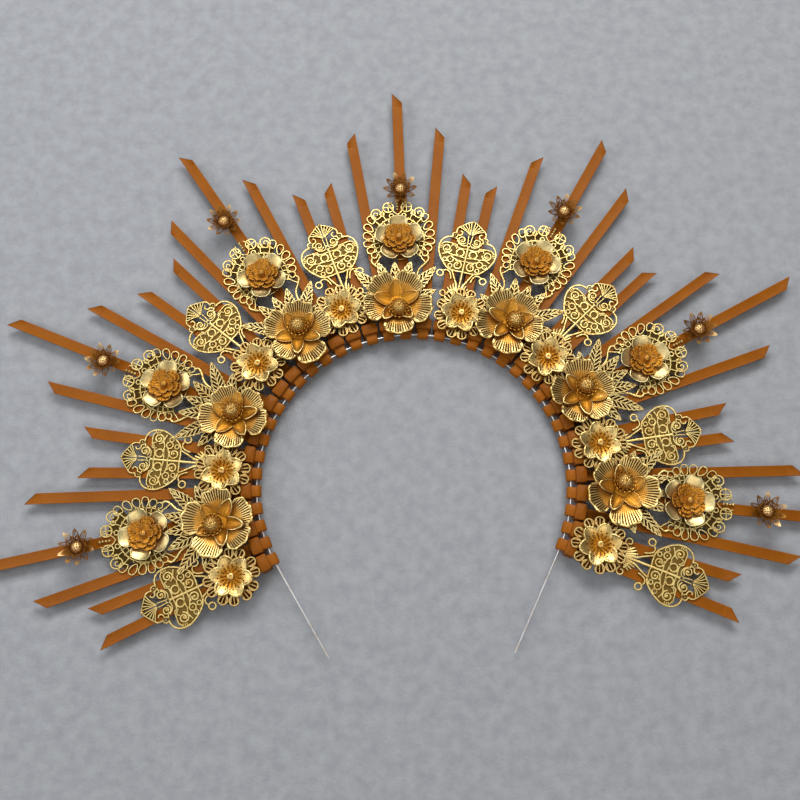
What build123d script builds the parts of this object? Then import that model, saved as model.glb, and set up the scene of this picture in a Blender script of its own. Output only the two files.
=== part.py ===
from build123d import *
import os
from collections import namedtuple

# Halo crown, lying face up. Millimetres, +Z up, +Y the way the top of the crown points.
# The origin is the centre of the wire's arc, on the surface that the crown lies on.
os.makedirs("parts", exist_ok=True)

# Wire
WIRE_ARC_R = 68.0
WIRE_R = 0.4
WIRE_Z = 4.0
WIRE_HALF_ANGLE = 118.0
TAIL_LEFT = 44.5
TAIL_RIGHT = 46.5

# Cable tie: a loop round the wire, a head box and a flat tail that is the ray
TIE_PITCH = 6.42
TOP_TIE = 19
STRAP_W = 4.8
STRAP_T = 1.2
TIP_SLANT = 5.0
TOOTH_ZONE_W = 3.3
TOOTH_ZONE_DEPTH = 0.25
LOOP_R = 2.05
LOOP_HOLE_R = 0.6
HEAD_W = 7.0
HEAD_DEPTH = 4.6
HEAD_H = 7.8
HEAD_EASE = 0.45

# Layers of metal on the rays, each with a small gap of glue below it
GLUE_GAP = 0.05
PLATE_T = 0.9
LAYER_GAP = 0.1
PLATE_Z = WIRE_Z + STRAP_T / 2 + GLUE_GAP
UPPER_Z = PLATE_Z + PLATE_T + LAYER_GAP
SPRIG_T = 0.8
RIB_RISE = 0.08
VEIN_W = 0.6
VEIN_H = 0.3
BEAD_SINK = 0.2
PETAL_ROOT_R = 1.5

# Blossom: five outer petals, five inner petals and a bead, soldered to a sprig of leaves
BLOSSOM_Z = 7.7
BLOSSOM_BOSS_R = 4.0
PETALS = 5
OUTER_REACH = 15.5
OUTER_LOBE_R = 6.2
OUTER_BOWL_R = 30.0
PETAL_T = 0.8
RIB_W = 0.5
RIB_H = 0.35
RIB_ANGLES = (-22, -11, 0, 11, 22)
RIB_START = 10.0
INNER_REACH = 11.0
INNER_LOBE_R = 4.2
INNER_BOWL_R = 16.0
BLOSSOM_BEAD_R = 3.3
LEAF_START = 3.0
Leaf = namedtuple("Leaf", "angle reach width")
MIDDLE_LEAF = Leaf(0, 20.8, 5.0)
PAIRED_LEAVES = (
    Leaf(20, 22.0, 5.2),
    Leaf(47, 25.4, 5.4),
    Leaf(71, 19.0, 4.6),
    Leaf(97, 16.6, 5.2),
)

# Rose on the teardrop plate
ROSE_REACH = 10.5
ROSE_LOBE_R = 4.6
ROSE_BOWL_R = 13.0
ROSE_INNER_REACH = 7.2
ROSE_INNER_LOBE_R = 3.2
ROSE_INNER_BOWL_R = 8.0
ROSE_BEAD_R = 2.15
ROSE_PETAL_T = 0.7
PEDESTAL_R = 2.0
PEDESTAL_H = 3.0

# Teardrop plate, measured from the rose's centre
DISC_R = 13.8
EDGE_LOOP_R = 2.6
EDGE_LOOP_HOLE_R = 1.6
EDGE_LOOP_HOLE_OUT = 0.3
EDGE_LOOP_ANGLES = (-110, -85, -60, 60, 85, 110)
Spot = namedtuple("Spot", "x y r")
OUTER_ROSETTE = Spot(4.1, 16.0, 2.7)
SIDE_ROSETTE = Spot(9.7, 12.8, 2.8)
NECK_REACH = 18.7
NECK_HALF_W = 7.1
SHOULDER_X = 12.7
SHOULDER_Y = 11.2
NECK_CURVE = (8.6, -13.9)
TAPER_REACH = 21.0
TAPER_HALF_W = 2.2
TAPER_ROOT_X = 8.0
TAPER_ROOT_Y = 10.5
TAPER_CURVE = (3.6, 15.0)
CRESCENT_IN_R = 10.8
CRESCENT_OUT_R = 14.0
CRESCENT_MID_ANGLE = 147.0
CRESCENT_HALF_ANGLE = 14.0

# Star flower near the end of each long ray
STAR_PETALS = 10
STAR_FIRST_ANGLE = 18
STAR_PETAL_START = 1.4
STAR_PETAL_L = 6.8
STAR_PETAL_W = 2.2
STAR_PETAL_T = 0.5
STAR_RISE = 30.0
STAR_FOOT_R = 2.6
STAR_FOOT_H = 1.0
STAR_PETAL_LIFT = 0.3
STAR_BEAD_R = 2.15

# Palmette: x is to the side of its spine, y is measured inwards from its tip
TIP_BALL_R = 0.8
TIP_HALF_W = 5.9
TIP_EDGE_Y = 4.6
TIP_UNDER_CURVE = (2.6, -4.9)
TIP_NECK_HALF_W = 0.9
TIP_NECK_Y = 7.6
TIP_SCROLL = Spot(4.7, 6.5, 2.3)
ROSETTE = Spot(3.3, 10.5, 2.3)
KNOB = Spot(6.9, 9.3, 1.4)
LOBE_X = 7.1
LOBE_Y = 17.7
LOBE_HALF_W = 6.1
LOBE_HALF_H = 7.7
LOBE_BAND = 1.1
LOBE_EYE_R = 2.7
HEART_TOP = 22.9
HEART_TOP_HALF_W = 10.5
HEART_BOTTOM = 28.6
HEART_HALF_W = 6.2
SIDE_RING = Spot(9.4, 29.0, 1.9)
SIDE_RING_HOLE_R = 1.0
STEM_W = 1.2
STEM_TOP_X = 5.6
STEM_FOOT_X = 2.4
SPINE_W = 1.8
SHELL = Spot(0, 37.5, 5.0)
SHELL_CURL = Spot(6.6, 37.6, 2.2)
ROOT = Spot(0, 47.5, 2.5)
SHELL_RIB_ANGLES = (-36, -18, 0, 18, 36)
SHELL_RIB_START = 5.0
SHELL_RIB_L = 5.0

# Small flower on the inner end of each palmette
FLORET_PETALS = 6
FLORET_PLATE_Z = HEAD_H + LAYER_GAP
FLORET_PLATE_T = 0.8
FLORET_BOSS_R = 3.0
FLORET_BOSS_RISE = 1.0
FLORET_ARM_R = 2.6
FLORET_RING_R = 2.3
FLORET_RING_OUT = 10.2
FLORET_RING_SPREAD = 13.5
FLORET_CUP_REACH = 7.0
FLORET_CUP_LOBE_R = 2.7
FLORET_CUP_BOWL_R = 12.0
FLORET_BEAD_R = 1.5
FLORET_BEAD_UP = 1.8

# One row for each run of five ties, counted clockwise from the lower left end.
# Reach is the radius of the tip; lean is how far the tip swings back anticlockwise, in degrees.
Five = namedtuple("Five", "short_a short_b mid_a long mid_b", defaults=(None, None, None))
REACH = (
    Five(148.0, 147.0, 168.0, 194.0, 168.0),
    Five(146.0, 147.0, 169.0, 197.0, 168.0),
    Five(153.0, 152.0, 167.0, 191.0, 165.0),
    Five(148.0, 148.0, 171.0, 190.0, 172.0),
    Five(149.5, 146.5, 168.0, 188.0, 172.0),
    Five(150.0, 148.0, 170.5, 197.0, 172.0),
    Five(143.0, 141.5, 169.5, 195.5, 167.5),
    Five(144.0, 148.0),
)
LEAN = (
    Five(-1.1, 0.0, 2.5, 2.1, -0.5),
    Five(1.7, 1.0, 1.4, 0.6, 0.0),
    Five(0.0, -0.6, 1.5, -0.4, -0.4),
    Five(-0.7, 0.1, 0.7, -0.6, -0.9),
    Five(0.0, 1.6, 2.0, 0.0, -0.6),
    Five(-1.4, 0.6, 0.4, -0.2, -1.5),
    Five(-2.1, -0.9, -1.0, -1.6, -1.7),
    Five(-0.3, 0.1),
)
# Which side of the slanted tip is the long one: 1 is clockwise
POINT_SIDE = Five(-1, 1, 1, -1, -1)

# One row for each flower over a long ray: radius, clockwise offset and clockwise turn of its petals,
# how far its bead leans outwards and clockwise, and how far its sprig sits outwards of it
Bloom = namedtuple("Bloom", "out side turn bead_out bead_side sprig_out")
BLOOMS = (
    Bloom(84.1, -4.1, 16, 3.0, -0.7, 3.0),
    Bloom(83.2, -3.6, 39, 1.4, 1.3, 3.5),
    Bloom(84.4, -3.4, 35, 2.3, 1.4, 1.0),
    Bloom(81.8, -3.3, 36, -3.3, 0.8, 0.0),
    Bloom(84.3, 2.3, 15, 0.9, 2.0, 0.0),
    Bloom(83.9, 1.2, 2, 2.6, -1.9, 3.0),
    Bloom(88.9, -1.9, 9, 0.8, -3.1, 0.0),
)
# One row for the ornaments further out on each long ray: radius and clockwise offset
Motif = namedtuple("Motif", "rose_out rose_side star_out star_side")
MOTIFS = (
    Motif(116.3, -3.7, 145.0, -4.6),
    Motif(117.6, -2.7, 147.7, -3.3),
    Motif(117.5, -1.4, 149.4, -1.6),
    Motif(113.5, -0.7, 138.0, 1.1),
    Motif(115.9, -0.6, 144.5, -0.9),
    Motif(116.7, 1.1, 145.2, 0.4),
    Motif(117.6, 1.1, 150.9, 3.5),
)
# One row for each ornament group over a pair of short rays; turn is anticlockwise, in degrees
Gap = namedtuple("Gap", "palmette_out palmette_side palmette_turn floret_out floret_side")
GAPS = (
    Gap(127.2, -1.0, 0.0, 86.4, -3.7),
    Gap(128.3, -3.5, 2.0, 82.4, -5.1),
    Gap(130.5, -1.0, 1.0, 86.7, -2.1),
    Gap(129.1, -2.0, 2.0, 84.3, -5.1),
    Gap(126.3, -0.3, 0.0, 79.3, 3.5),
    Gap(129.1, -0.3, 0.0, 81.5, 2.2),
    Gap(128.5, 4.5, -4.0, 82.3, 1.0),
    Gap(132.3, 1.1, -2.0, 82.8, -0.7),
)


def around(outline, angles):
    """The outline turned to each angle about the origin, as one sketch."""
    return Sketch() + [Rot(0, 0, angle) * outline for angle in angles]


def both_sides(outline):
    """The outline and its mirror image across the Y axis."""
    return outline + mirror(outline, Plane.YZ)


def even_angles(count, start=0.0):
    return [start + 360 / count * k for k in range(count)]


def disc(x, y, radius):
    return Pos(x, y) * Circle(radius)


def leaf_outline(start, reach, width):
    """A pointed leaf on the Y axis: the overlap of two large circles."""
    half_length = (reach - start) / 2
    half_width = width / 2
    side_r = (half_length**2 + half_width**2) / (2 * half_width)
    shift = side_r - half_width
    middle = start + half_length
    return disc(shift, middle, side_r) & disc(-shift, middle, side_r)


def petal_outline(reach, lobe_r):
    """A petal on the Y axis: a round lobe that narrows to the centre."""
    lobe = disc(0, reach - lobe_r, lobe_r)
    return make_hull(lobe.edges() + Circle(PETAL_ROOT_R).edges())


def plate(outline, z, thickness):
    return extrude(Pos(0, 0, z) * outline, amount=thickness)


def bowl(outline, base_z, bowl_r, thickness):
    """The part of a thin ball shell, lowest at base_z, that lies over the outline."""
    centre = Pos(0, 0, base_z + bowl_r) * Rot(0, -90, 0)
    shell = centre * Sphere(bowl_r) - centre * Sphere(bowl_r - thickness)
    return shell & plate(outline, base_z - 1, bowl_r)


def bead(radius, z):
    return Pos(0, 0, z) * Sphere(radius)


def wire():
    """The arc and its two straight tails, which leave it along its tangents."""
    section = Plane.XZ * Pos(WIRE_ARC_R, WIRE_Z) * Circle(WIRE_R)
    sweep_angle = 2 * WIRE_HALF_ANGLE
    arc = Rot(0, 0, 90 - WIRE_HALF_ANGLE) * revolve(section, Axis.Z, revolution_arc=sweep_angle)
    right = Rot(0, 0, 90 - WIRE_HALF_ANGLE) * tail(TAIL_RIGHT, -1)
    left = Rot(0, 0, 90 + WIRE_HALF_ANGLE) * tail(TAIL_LEFT, 1)
    return arc + right + left


def tail(length, direction):
    start = Pos(WIRE_ARC_R, 0, WIRE_Z) * Rot(-90 * direction, 0, 0)
    return start * extrude(Circle(WIRE_R), amount=length)


def strap_outline(start, length, width, point_side):
    """A flat strip along +Y whose tip is cut at a slant."""
    right_end = length if point_side > 0 else length - TIP_SLANT
    left_end = length if point_side < 0 else length - TIP_SLANT
    corners = [
        (-width / 2, start),
        (width / 2, start),
        (width / 2, right_end),
        (-width / 2, left_end),
    ]
    return make_face(Polyline(*corners, close=True))


def cable_tie(length, point_side):
    """A closed tie, with the wire through the origin and its tail along +Y."""
    head_out = LOOP_R + HEAD_DEPTH
    loop = Pos(0, 0, WIRE_Z) * Rot(0, 90, 0) * Cylinder(LOOP_R, STRAP_W)
    throat = Pos(0, LOOP_R / 2, WIRE_Z) * Box(STRAP_W, LOOP_R, 2 * LOOP_R)
    head = Pos(0, LOOP_R + HEAD_DEPTH / 2, HEAD_H / 2) * Box(HEAD_W, HEAD_DEPTH, HEAD_H)
    head = chamfer(head.edges(), HEAD_EASE)
    strap_top = WIRE_Z + STRAP_T / 2
    strap = plate(strap_outline(LOOP_R, length, STRAP_W, point_side), strap_top - STRAP_T, STRAP_T)
    channel_outline = Pos(0, (head_out + length) / 2) * Rectangle(TOOTH_ZONE_W, length - head_out)
    channel = plate(channel_outline, strap_top - TOOTH_ZONE_DEPTH, STRAP_T)
    hole = Pos(0, 0, WIRE_Z) * Rot(0, 90, 0) * Cylinder(LOOP_HOLE_R, 2 * STRAP_W)
    return loop + throat + head + strap - channel - hole


def tie_angle(number):
    """How far a tie is turned from +Y, anticlockwise, in degrees."""
    return TIE_PITCH * (TOP_TIE - number)


def placed_tie(row, column):
    number = 5 * row + Five._fields.index(column) + 1
    reach = getattr(REACH[row], column)
    lean = getattr(LEAN[row], column)
    length = reach - WIRE_ARC_R
    turn = lean * reach / length
    place = Rot(0, 0, tie_angle(number)) * Pos(0, WIRE_ARC_R, 0) * Rot(0, 0, turn)
    return place * cable_tie(length, getattr(POINT_SIDE, column))


def ray_fans():
    """The ties in fans: two short ones, then the three that carry a long ray's ornaments."""
    fans = []
    for row in range(len(REACH)):
        fans.append([placed_tie(row, column) for column in ("short_a", "short_b")])
        if REACH[row].long is not None:
            fans.append([placed_tie(row, column) for column in ("mid_a", "long", "mid_b")])
    return fans


def leaf(angle, reach, width):
    """One leaf of the sprig, with a raised midrib that stops short of its point."""
    outline = Rot(0, 0, angle) * leaf_outline(LEAF_START, reach, width)
    vein_end = reach - width / 3
    vein = Rot(0, 0, angle) * Pos(0, vein_end / 2) * Rectangle(VEIN_W, vein_end)
    return plate(outline, UPPER_Z, SPRIG_T) + plate(vein, UPPER_Z, SPRIG_T + VEIN_H)


def sprig():
    """Nine leaves that show past the blossom's petals: one in the middle and four pairs."""
    leaves = leaf(*MIDDLE_LEAF)
    for angle, reach, width in PAIRED_LEAVES:
        leaves += leaf(angle, reach, width)
        leaves += leaf(-angle, reach, width)
    return leaves


def flower():
    """The blossom's ten petals on their boss, without the sprig and the bead."""
    petals = around(petal_outline(OUTER_REACH, OUTER_LOBE_R), even_angles(PETALS))
    outer = bowl(petals, BLOSSOM_Z, OUTER_BOWL_R, PETAL_T)
    rib_length = OUTER_REACH - RIB_START
    rib = Pos(0, RIB_START + rib_length / 2) * Rectangle(RIB_W, rib_length)
    ribs = around(around(rib, RIB_ANGLES), even_angles(PETALS)) & petals
    rib_shell_z = BLOSSOM_Z + PETAL_T / 2
    raised = bowl(ribs, rib_shell_z, OUTER_BOWL_R - PETAL_T / 2, PETAL_T / 2 + RIB_H)
    cups = around(petal_outline(INNER_REACH, INNER_LOBE_R), even_angles(PETALS, 180 / PETALS))
    inner_z = BLOSSOM_Z + PETAL_T - LAYER_GAP
    inner = bowl(cups, inner_z, INNER_BOWL_R, PETAL_T)
    boss = plate(Circle(BLOSSOM_BOSS_R), PLATE_Z, inner_z + PETAL_T - PLATE_Z)
    return boss + outer + raised + inner


def blossom(leaves, petals, bloom):
    """The flower turned on its sprig, with its bead leaning to one side."""
    bead_z = BLOSSOM_Z + 2 * PETAL_T - LAYER_GAP + BLOSSOM_BEAD_R - BEAD_SINK
    middle = Pos(bloom.bead_side, bloom.bead_out) * bead(BLOSSOM_BEAD_R, bead_z)
    return Pos(0, bloom.sprig_out) * leaves + Rot(0, 0, -bloom.turn) * petals + middle


def rose():
    petals = around(petal_outline(ROSE_REACH, ROSE_LOBE_R), even_angles(PETALS))
    outer = bowl(petals, UPPER_Z, ROSE_BOWL_R, ROSE_PETAL_T)
    cup = petal_outline(ROSE_INNER_REACH, ROSE_INNER_LOBE_R)
    cups = around(cup, even_angles(PETALS, 180 / PETALS))
    inner_z = UPPER_Z + ROSE_PETAL_T - LAYER_GAP
    inner = bowl(cups, inner_z, ROSE_INNER_BOWL_R, ROSE_PETAL_T)
    pedestal = plate(Circle(PEDESTAL_R), UPPER_Z, PEDESTAL_H)
    middle = bead(ROSE_BEAD_R, UPPER_Z + PEDESTAL_H + ROSE_BEAD_R / 2)
    return pedestal + outer + inner + middle


def neck_outline():
    """From the disc inwards: two hollow curves that narrow to the blossom."""
    side = ThreePointArc((SHOULDER_X, -SHOULDER_Y), NECK_CURVE, (NECK_HALF_W, -NECK_REACH))
    base = Line((NECK_HALF_W, -NECK_REACH), (0, -NECK_REACH))
    middle = Line((0, -NECK_REACH), (0, 0))
    top = Line((0, 0), (SHOULDER_X, -SHOULDER_Y))
    return both_sides(make_face([side, base, middle, top]))


def taper_outline():
    """From the disc outwards: a narrow tongue on the long ray."""
    side = ThreePointArc((TAPER_ROOT_X, TAPER_ROOT_Y), TAPER_CURVE, (TAPER_HALF_W, TAPER_REACH))
    end = Line((TAPER_HALF_W, TAPER_REACH), (0, TAPER_REACH))
    middle = Line((0, TAPER_REACH), (0, 0))
    bottom = Line((0, 0), (TAPER_ROOT_X, TAPER_ROOT_Y))
    return both_sides(make_face([side, end, middle, bottom]))


def crescent():
    """A curved gap beside the neck, to the right of the Y axis."""
    ring = Circle(CRESCENT_OUT_R) - Circle(CRESCENT_IN_R)
    far = 2 * CRESCENT_OUT_R
    from_angle = Rot(0, 0, -CRESCENT_MID_ANGLE - CRESCENT_HALF_ANGLE) * Pos(0, far)
    to_angle = Rot(0, 0, -CRESCENT_MID_ANGLE + CRESCENT_HALF_ANGLE) * Pos(0, far)
    wedge = make_face(Polyline((0, 0), from_angle.position, to_angle.position, close=True))
    return ring & wedge


def teardrop():
    outline = Circle(DISC_R) + neck_outline() + taper_outline()
    outline += around(disc(0, DISC_R, EDGE_LOOP_R), EDGE_LOOP_ANGLES)
    outline += both_sides(disc(*OUTER_ROSETTE) + disc(*SIDE_ROSETTE))
    outline -= around(disc(0, DISC_R + EDGE_LOOP_HOLE_OUT, EDGE_LOOP_HOLE_R), EDGE_LOOP_ANGLES)
    outline -= both_sides(crescent())
    return plate(outline, PLATE_Z, PLATE_T)


def star():
    """Ten pointed petals that rise from a small foot, with a bead in the middle."""
    foot_top = UPPER_Z + STAR_FOOT_H
    flower = plate(Circle(STAR_FOOT_R), PLATE_Z, foot_top - PLATE_Z)
    flower += bead(STAR_BEAD_R, foot_top + STAR_BEAD_R - 2 * BEAD_SINK)
    petal = extrude(leaf_outline(0, STAR_PETAL_L, STAR_PETAL_W), amount=STAR_PETAL_T)
    raised = Pos(0, STAR_PETAL_START, UPPER_Z + STAR_PETAL_LIFT) * Rot(STAR_RISE, 0, 0) * petal
    for angle in even_angles(STAR_PETALS, STAR_FIRST_ANGLE):
        flower += Rot(0, 0, angle) * raised
    return flower


def inward(spot):
    """A disc at a spot of the palmette, whose y runs inwards."""
    return disc(spot.x, -spot.y, spot.r)


def lobe_outline():
    """One scroll lobe: an open oval band round a solid eye, tied to the spine."""
    band = Ellipse(LOBE_HALF_W, LOBE_HALF_H)
    band -= Ellipse(LOBE_HALF_W - LOBE_BAND, LOBE_HALF_H - LOBE_BAND)
    tie_bar = Pos(-LOBE_X / 2, 0) * Rectangle(LOBE_X, LOBE_BAND)
    return Pos(LOBE_X, -LOBE_Y) * (band + Circle(LOBE_EYE_R) + tie_bar)


def palmette_side():
    """Everything to the right of the spine: lobe, heart, stem and small rings."""
    corners = [
        (0, -HEART_TOP),
        (HEART_TOP_HALF_W, -HEART_TOP),
        (HEART_HALF_W, -HEART_BOTTOM),
        (0, -HEART_BOTTOM),
    ]
    stem = Line((STEM_TOP_X, -HEART_BOTTOM + STEM_W / 2), (STEM_FOOT_X, -SHELL.y))
    ring_edge = SIDE_RING.x - SIDE_RING.r + STEM_W / 2
    link = Line((STEM_TOP_X, -HEART_BOTTOM + STEM_W), (ring_edge, -SIDE_RING.y))
    side = lobe_outline() + make_face(Polyline(*corners, close=True))
    side += trace(stem, line_width=STEM_W) + trace(link, line_width=STEM_W)
    for spot in (TIP_SCROLL, ROSETTE, KNOB, SIDE_RING, SHELL_CURL):
        side += inward(spot)
    return side - disc(SIDE_RING.x, -SIDE_RING.y, SIDE_RING_HOLE_R)


def tip_outline():
    """The fluted tip: an arrowhead whose underside curves in to the spine."""
    point = (0, -TIP_BALL_R)
    corner = (TIP_HALF_W, -TIP_EDGE_Y)
    neck = (TIP_NECK_HALF_W, -TIP_NECK_Y)
    foot = (0, -TIP_NECK_Y)
    under = ThreePointArc(corner, TIP_UNDER_CURVE, neck)
    return both_sides(make_face([Line(point, corner), under, Line(neck, foot), Line(foot, point)]))


def palmette_outline():
    """The flat filigree leaf, tip at the origin and root towards -Y."""
    spine_length = SHELL.y - TIP_NECK_Y
    outline = Pos(0, -SHELL.y + spine_length / 2) * Rectangle(SPINE_W, spine_length)
    outline += tip_outline() + disc(0, -TIP_BALL_R, TIP_BALL_R)
    shell = make_hull(inward(SHELL).edges() + inward(ROOT).edges())
    return outline + both_sides(palmette_side()) + shell


def palmette():
    """The filigree leaf with a raised rib along its spine and a fan of ribs on its shell."""
    rib_length = HEART_BOTTOM - TIP_NECK_Y
    rib = Pos(0, -TIP_NECK_Y - rib_length / 2) * Rectangle(VEIN_W, rib_length)
    fan_rib = Pos(0, SHELL_RIB_START + SHELL_RIB_L / 2) * Rectangle(VEIN_W, SHELL_RIB_L)
    fan = Pos(0, -SHELL.y - SHELL.r) * around(fan_rib, SHELL_RIB_ANGLES)
    return plate(palmette_outline(), PLATE_Z, PLATE_T) + plate(rib + fan, PLATE_Z, PLATE_T + RIB_RISE)


def floret():
    """Six petals of two rings each, and a raised cup of six petals."""
    spread = (-FLORET_RING_SPREAD, FLORET_RING_SPREAD)
    ring_pair = around(disc(0, FLORET_RING_OUT, FLORET_RING_R), spread)
    arm = petal_outline(FLORET_RING_OUT + 1, FLORET_ARM_R)
    flat = plate(around(ring_pair + arm, even_angles(FLORET_PETALS)), FLORET_PLATE_Z, FLORET_PLATE_T)
    plate_top = FLORET_PLATE_Z + FLORET_PLATE_T
    boss = plate(Circle(FLORET_BOSS_R), UPPER_Z, plate_top + FLORET_BOSS_RISE - UPPER_Z)
    cup_petal = petal_outline(FLORET_CUP_REACH, FLORET_CUP_LOBE_R)
    cups = around(cup_petal, even_angles(FLORET_PETALS, 180 / FLORET_PETALS))
    cup = bowl(cups, plate_top - LAYER_GAP, FLORET_CUP_BOWL_R, ROSE_PETAL_T)
    return flat + boss + cup + bead(FLORET_BEAD_R, plate_top + FLORET_BEAD_UP)


def on_ray(number, out, side, turn=0.0):
    """The place at radius out and clockwise offset side, for the tie of that number."""
    return Rot(0, 0, tie_angle(number)) * Pos(side, out, 0) * Rot(0, 0, turn)


def save(solids, name):
    shape = Compound(children=list(solids)) if len(solids) > 1 else solids[0]
    export_step(shape, os.path.join("parts", name + ".step"))


def main():
    save([wire()], "wire")
    for k, fan in enumerate(ray_fans(), start=1):
        save(fan, f"rays_{k:02d}")

    leaves = sprig()
    petals = flower()
    for k, bloom in enumerate(BLOOMS, start=1):
        place = on_ray(5 * k - 1, bloom.out, bloom.side)
        save([place * blossom(leaves, petals, bloom)], f"blossom_{k}")

    shapes = {"teardrop": teardrop(), "rose": rose(), "star": star()}
    for k, motif in enumerate(MOTIFS, start=1):
        ray = 5 * k - 1
        places = {
            "teardrop": on_ray(ray, motif.rose_out, motif.rose_side),
            "rose": on_ray(ray, motif.rose_out, motif.rose_side),
            "star": on_ray(ray, motif.star_out, motif.star_side),
        }
        for name, place in places.items():
            save([place * shapes[name]], f"{name}_{k}")

    leaf_shape = palmette()
    flower_shape = floret()
    for k, gap in enumerate(GAPS, start=1):
        between = 5 * k - 3.5
        leaf_place = on_ray(between, gap.palmette_out, gap.palmette_side, gap.palmette_turn)
        save([leaf_place * leaf_shape], f"palmette_{k}")
        save([on_ray(between, gap.floret_out, gap.floret_side) * flower_shape], f"floret_{k}")


main()
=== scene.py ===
# %% [markdown]
# # A halo crown of cable ties, stamped flowers and filigree
# The real crown is thirty-seven nylon cable ties pulled tight round a bent wire, so that their tails
# stand out like sun rays. Gold plates and flowers, pressed from thin sheet metal, are glued on top.
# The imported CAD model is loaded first: it gives the size and the place of every piece, and each CAD
# node is then replaced by a finer surface that sits in the same space.

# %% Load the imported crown
from collections import namedtuple

import bpy
import numpy as np
from mathutils import Matrix


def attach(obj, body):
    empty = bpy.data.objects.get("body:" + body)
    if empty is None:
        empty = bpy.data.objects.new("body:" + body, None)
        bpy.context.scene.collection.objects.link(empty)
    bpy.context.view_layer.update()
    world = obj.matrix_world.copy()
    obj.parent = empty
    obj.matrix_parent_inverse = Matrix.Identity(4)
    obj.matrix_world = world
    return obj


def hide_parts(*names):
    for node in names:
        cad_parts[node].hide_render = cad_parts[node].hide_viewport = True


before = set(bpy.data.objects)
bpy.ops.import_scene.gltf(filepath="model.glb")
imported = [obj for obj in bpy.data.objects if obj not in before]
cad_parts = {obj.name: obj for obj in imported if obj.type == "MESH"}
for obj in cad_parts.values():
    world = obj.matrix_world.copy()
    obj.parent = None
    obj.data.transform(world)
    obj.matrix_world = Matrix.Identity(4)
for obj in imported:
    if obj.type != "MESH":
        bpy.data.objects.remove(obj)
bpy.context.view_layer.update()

MM = 0.001

# %% [markdown]
# ## Where everything sits
# The ties stand 6.42 degrees apart on the wire's arc, and the middle one, number 19, points straight up
# the crown. Hand work is never even: each tie has its own length and leans a little, and each flower
# is a little off its ray. The tables hold one row for each run of five ties, clockwise from the lower
# left end, as they were measured. Numbers are millimetres and degrees.

# %% Measured tables
TIE_PITCH = 6.42
TOP_TIE = 19
TIES_A_ROW = 5
WIRE_ARC_R = 68.0
WIRE_Z = 4.0

Five = namedtuple("Five", "short_a short_b mid_a long mid_b", defaults=(None, None, None))
REACH = (
    Five(148.0, 147.0, 168.0, 194.0, 168.0),
    Five(146.0, 147.0, 169.0, 197.0, 168.0),
    Five(153.0, 152.0, 167.0, 191.0, 165.0),
    Five(148.0, 148.0, 171.0, 190.0, 172.0),
    Five(149.5, 146.5, 168.0, 188.0, 172.0),
    Five(150.0, 148.0, 170.5, 197.0, 172.0),
    Five(143.0, 141.5, 169.5, 195.5, 167.5),
    Five(144.0, 148.0),
)
LEAN = (
    Five(-1.1, 0.0, 2.5, 2.1, -0.5),
    Five(1.7, 1.0, 1.4, 0.6, 0.0),
    Five(0.0, -0.6, 1.5, -0.4, -0.4),
    Five(-0.7, 0.1, 0.7, -0.6, -0.9),
    Five(0.0, 1.6, 2.0, 0.0, -0.6),
    Five(-1.4, 0.6, 0.4, -0.2, -1.5),
    Five(-2.1, -0.9, -1.0, -1.6, -1.7),
    Five(-0.3, 0.1),
)
POINT_SIDE = Five(-1, 1, 1, -1, -1)

Bloom = namedtuple("Bloom", "out side turn bead_out bead_side sprig_out")
BLOOMS = (
    Bloom(84.1, -4.1, 16, 3.0, -0.7, 3.0),
    Bloom(83.2, -3.6, 39, 1.4, 1.3, 3.5),
    Bloom(84.4, -3.4, 35, 2.3, 1.4, 1.0),
    Bloom(81.8, -3.3, 36, -3.3, 0.8, 0.0),
    Bloom(84.3, 2.3, 15, 0.9, 2.0, 0.0),
    Bloom(83.9, 1.2, 2, 2.6, -1.9, 3.0),
    Bloom(88.9, -1.9, 9, 0.8, -3.1, 0.0),
)
Motif = namedtuple("Motif", "rose_out rose_side star_out star_side")
MOTIFS = (
    Motif(116.3, -3.7, 145.0, -4.6),
    Motif(117.6, -2.7, 147.7, -3.3),
    Motif(117.5, -1.4, 149.4, -1.6),
    Motif(113.5, -0.7, 138.0, 1.1),
    Motif(115.9, -0.6, 144.5, -0.9),
    Motif(116.7, 1.1, 145.2, 0.4),
    Motif(117.6, 1.1, 150.9, 3.5),
)
Gap = namedtuple("Gap", "palmette_out palmette_side palmette_turn floret_out floret_side")
GAPS = (
    Gap(127.2, -1.0, 0.0, 86.4, -3.7),
    Gap(128.3, -3.5, 2.0, 82.4, -5.1),
    Gap(130.5, -1.0, 1.0, 86.7, -2.1),
    Gap(129.1, -2.0, 2.0, 84.3, -5.1),
    Gap(126.3, -0.3, 0.0, 79.3, 3.5),
    Gap(129.1, -0.3, 0.0, 81.5, 2.2),
    Gap(128.5, 4.5, -4.0, 82.3, 1.0),
    Gap(132.3, 1.1, -2.0, 82.8, -0.7),
)
print("ties:", sum(len([r for r in row if r]) for row in REACH), "groups:", len(MOTIFS), "and", len(GAPS))

# %% [markdown]
# ## Shapes as arrays
# Every piece is worked out as whole numpy arrays: a list of points, a list of faces and one number
# for each point, its tone. The tone says how deep a point lies in a cup of metal: 0 pale on a rim,
# 0.5 amber in a hollow, which is partly the plating's own colour and partly painted reflection of gold
# in gold, and 1 dark, which is painted shade in a pierced hole, slot or gap. A small tuple carries the
# three lists, and a face with three corners has -1 as its fourth.

# %% Points, faces and tone
Shape = namedtuple("Shape", "points faces tone")


def join(shapes):
    """Several shapes as one: the points follow each other, and each face list counts on from the last."""
    shapes = list(shapes)
    starts = np.cumsum([0] + [len(s.points) for s in shapes[:-1]])
    faces = [np.where(s.faces < 0, -1, s.faces + start) for s, start in zip(shapes, starts)]
    points = np.concatenate([s.points for s in shapes])
    return Shape(points, np.concatenate(faces), np.concatenate([s.tone for s in shapes]))


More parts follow.
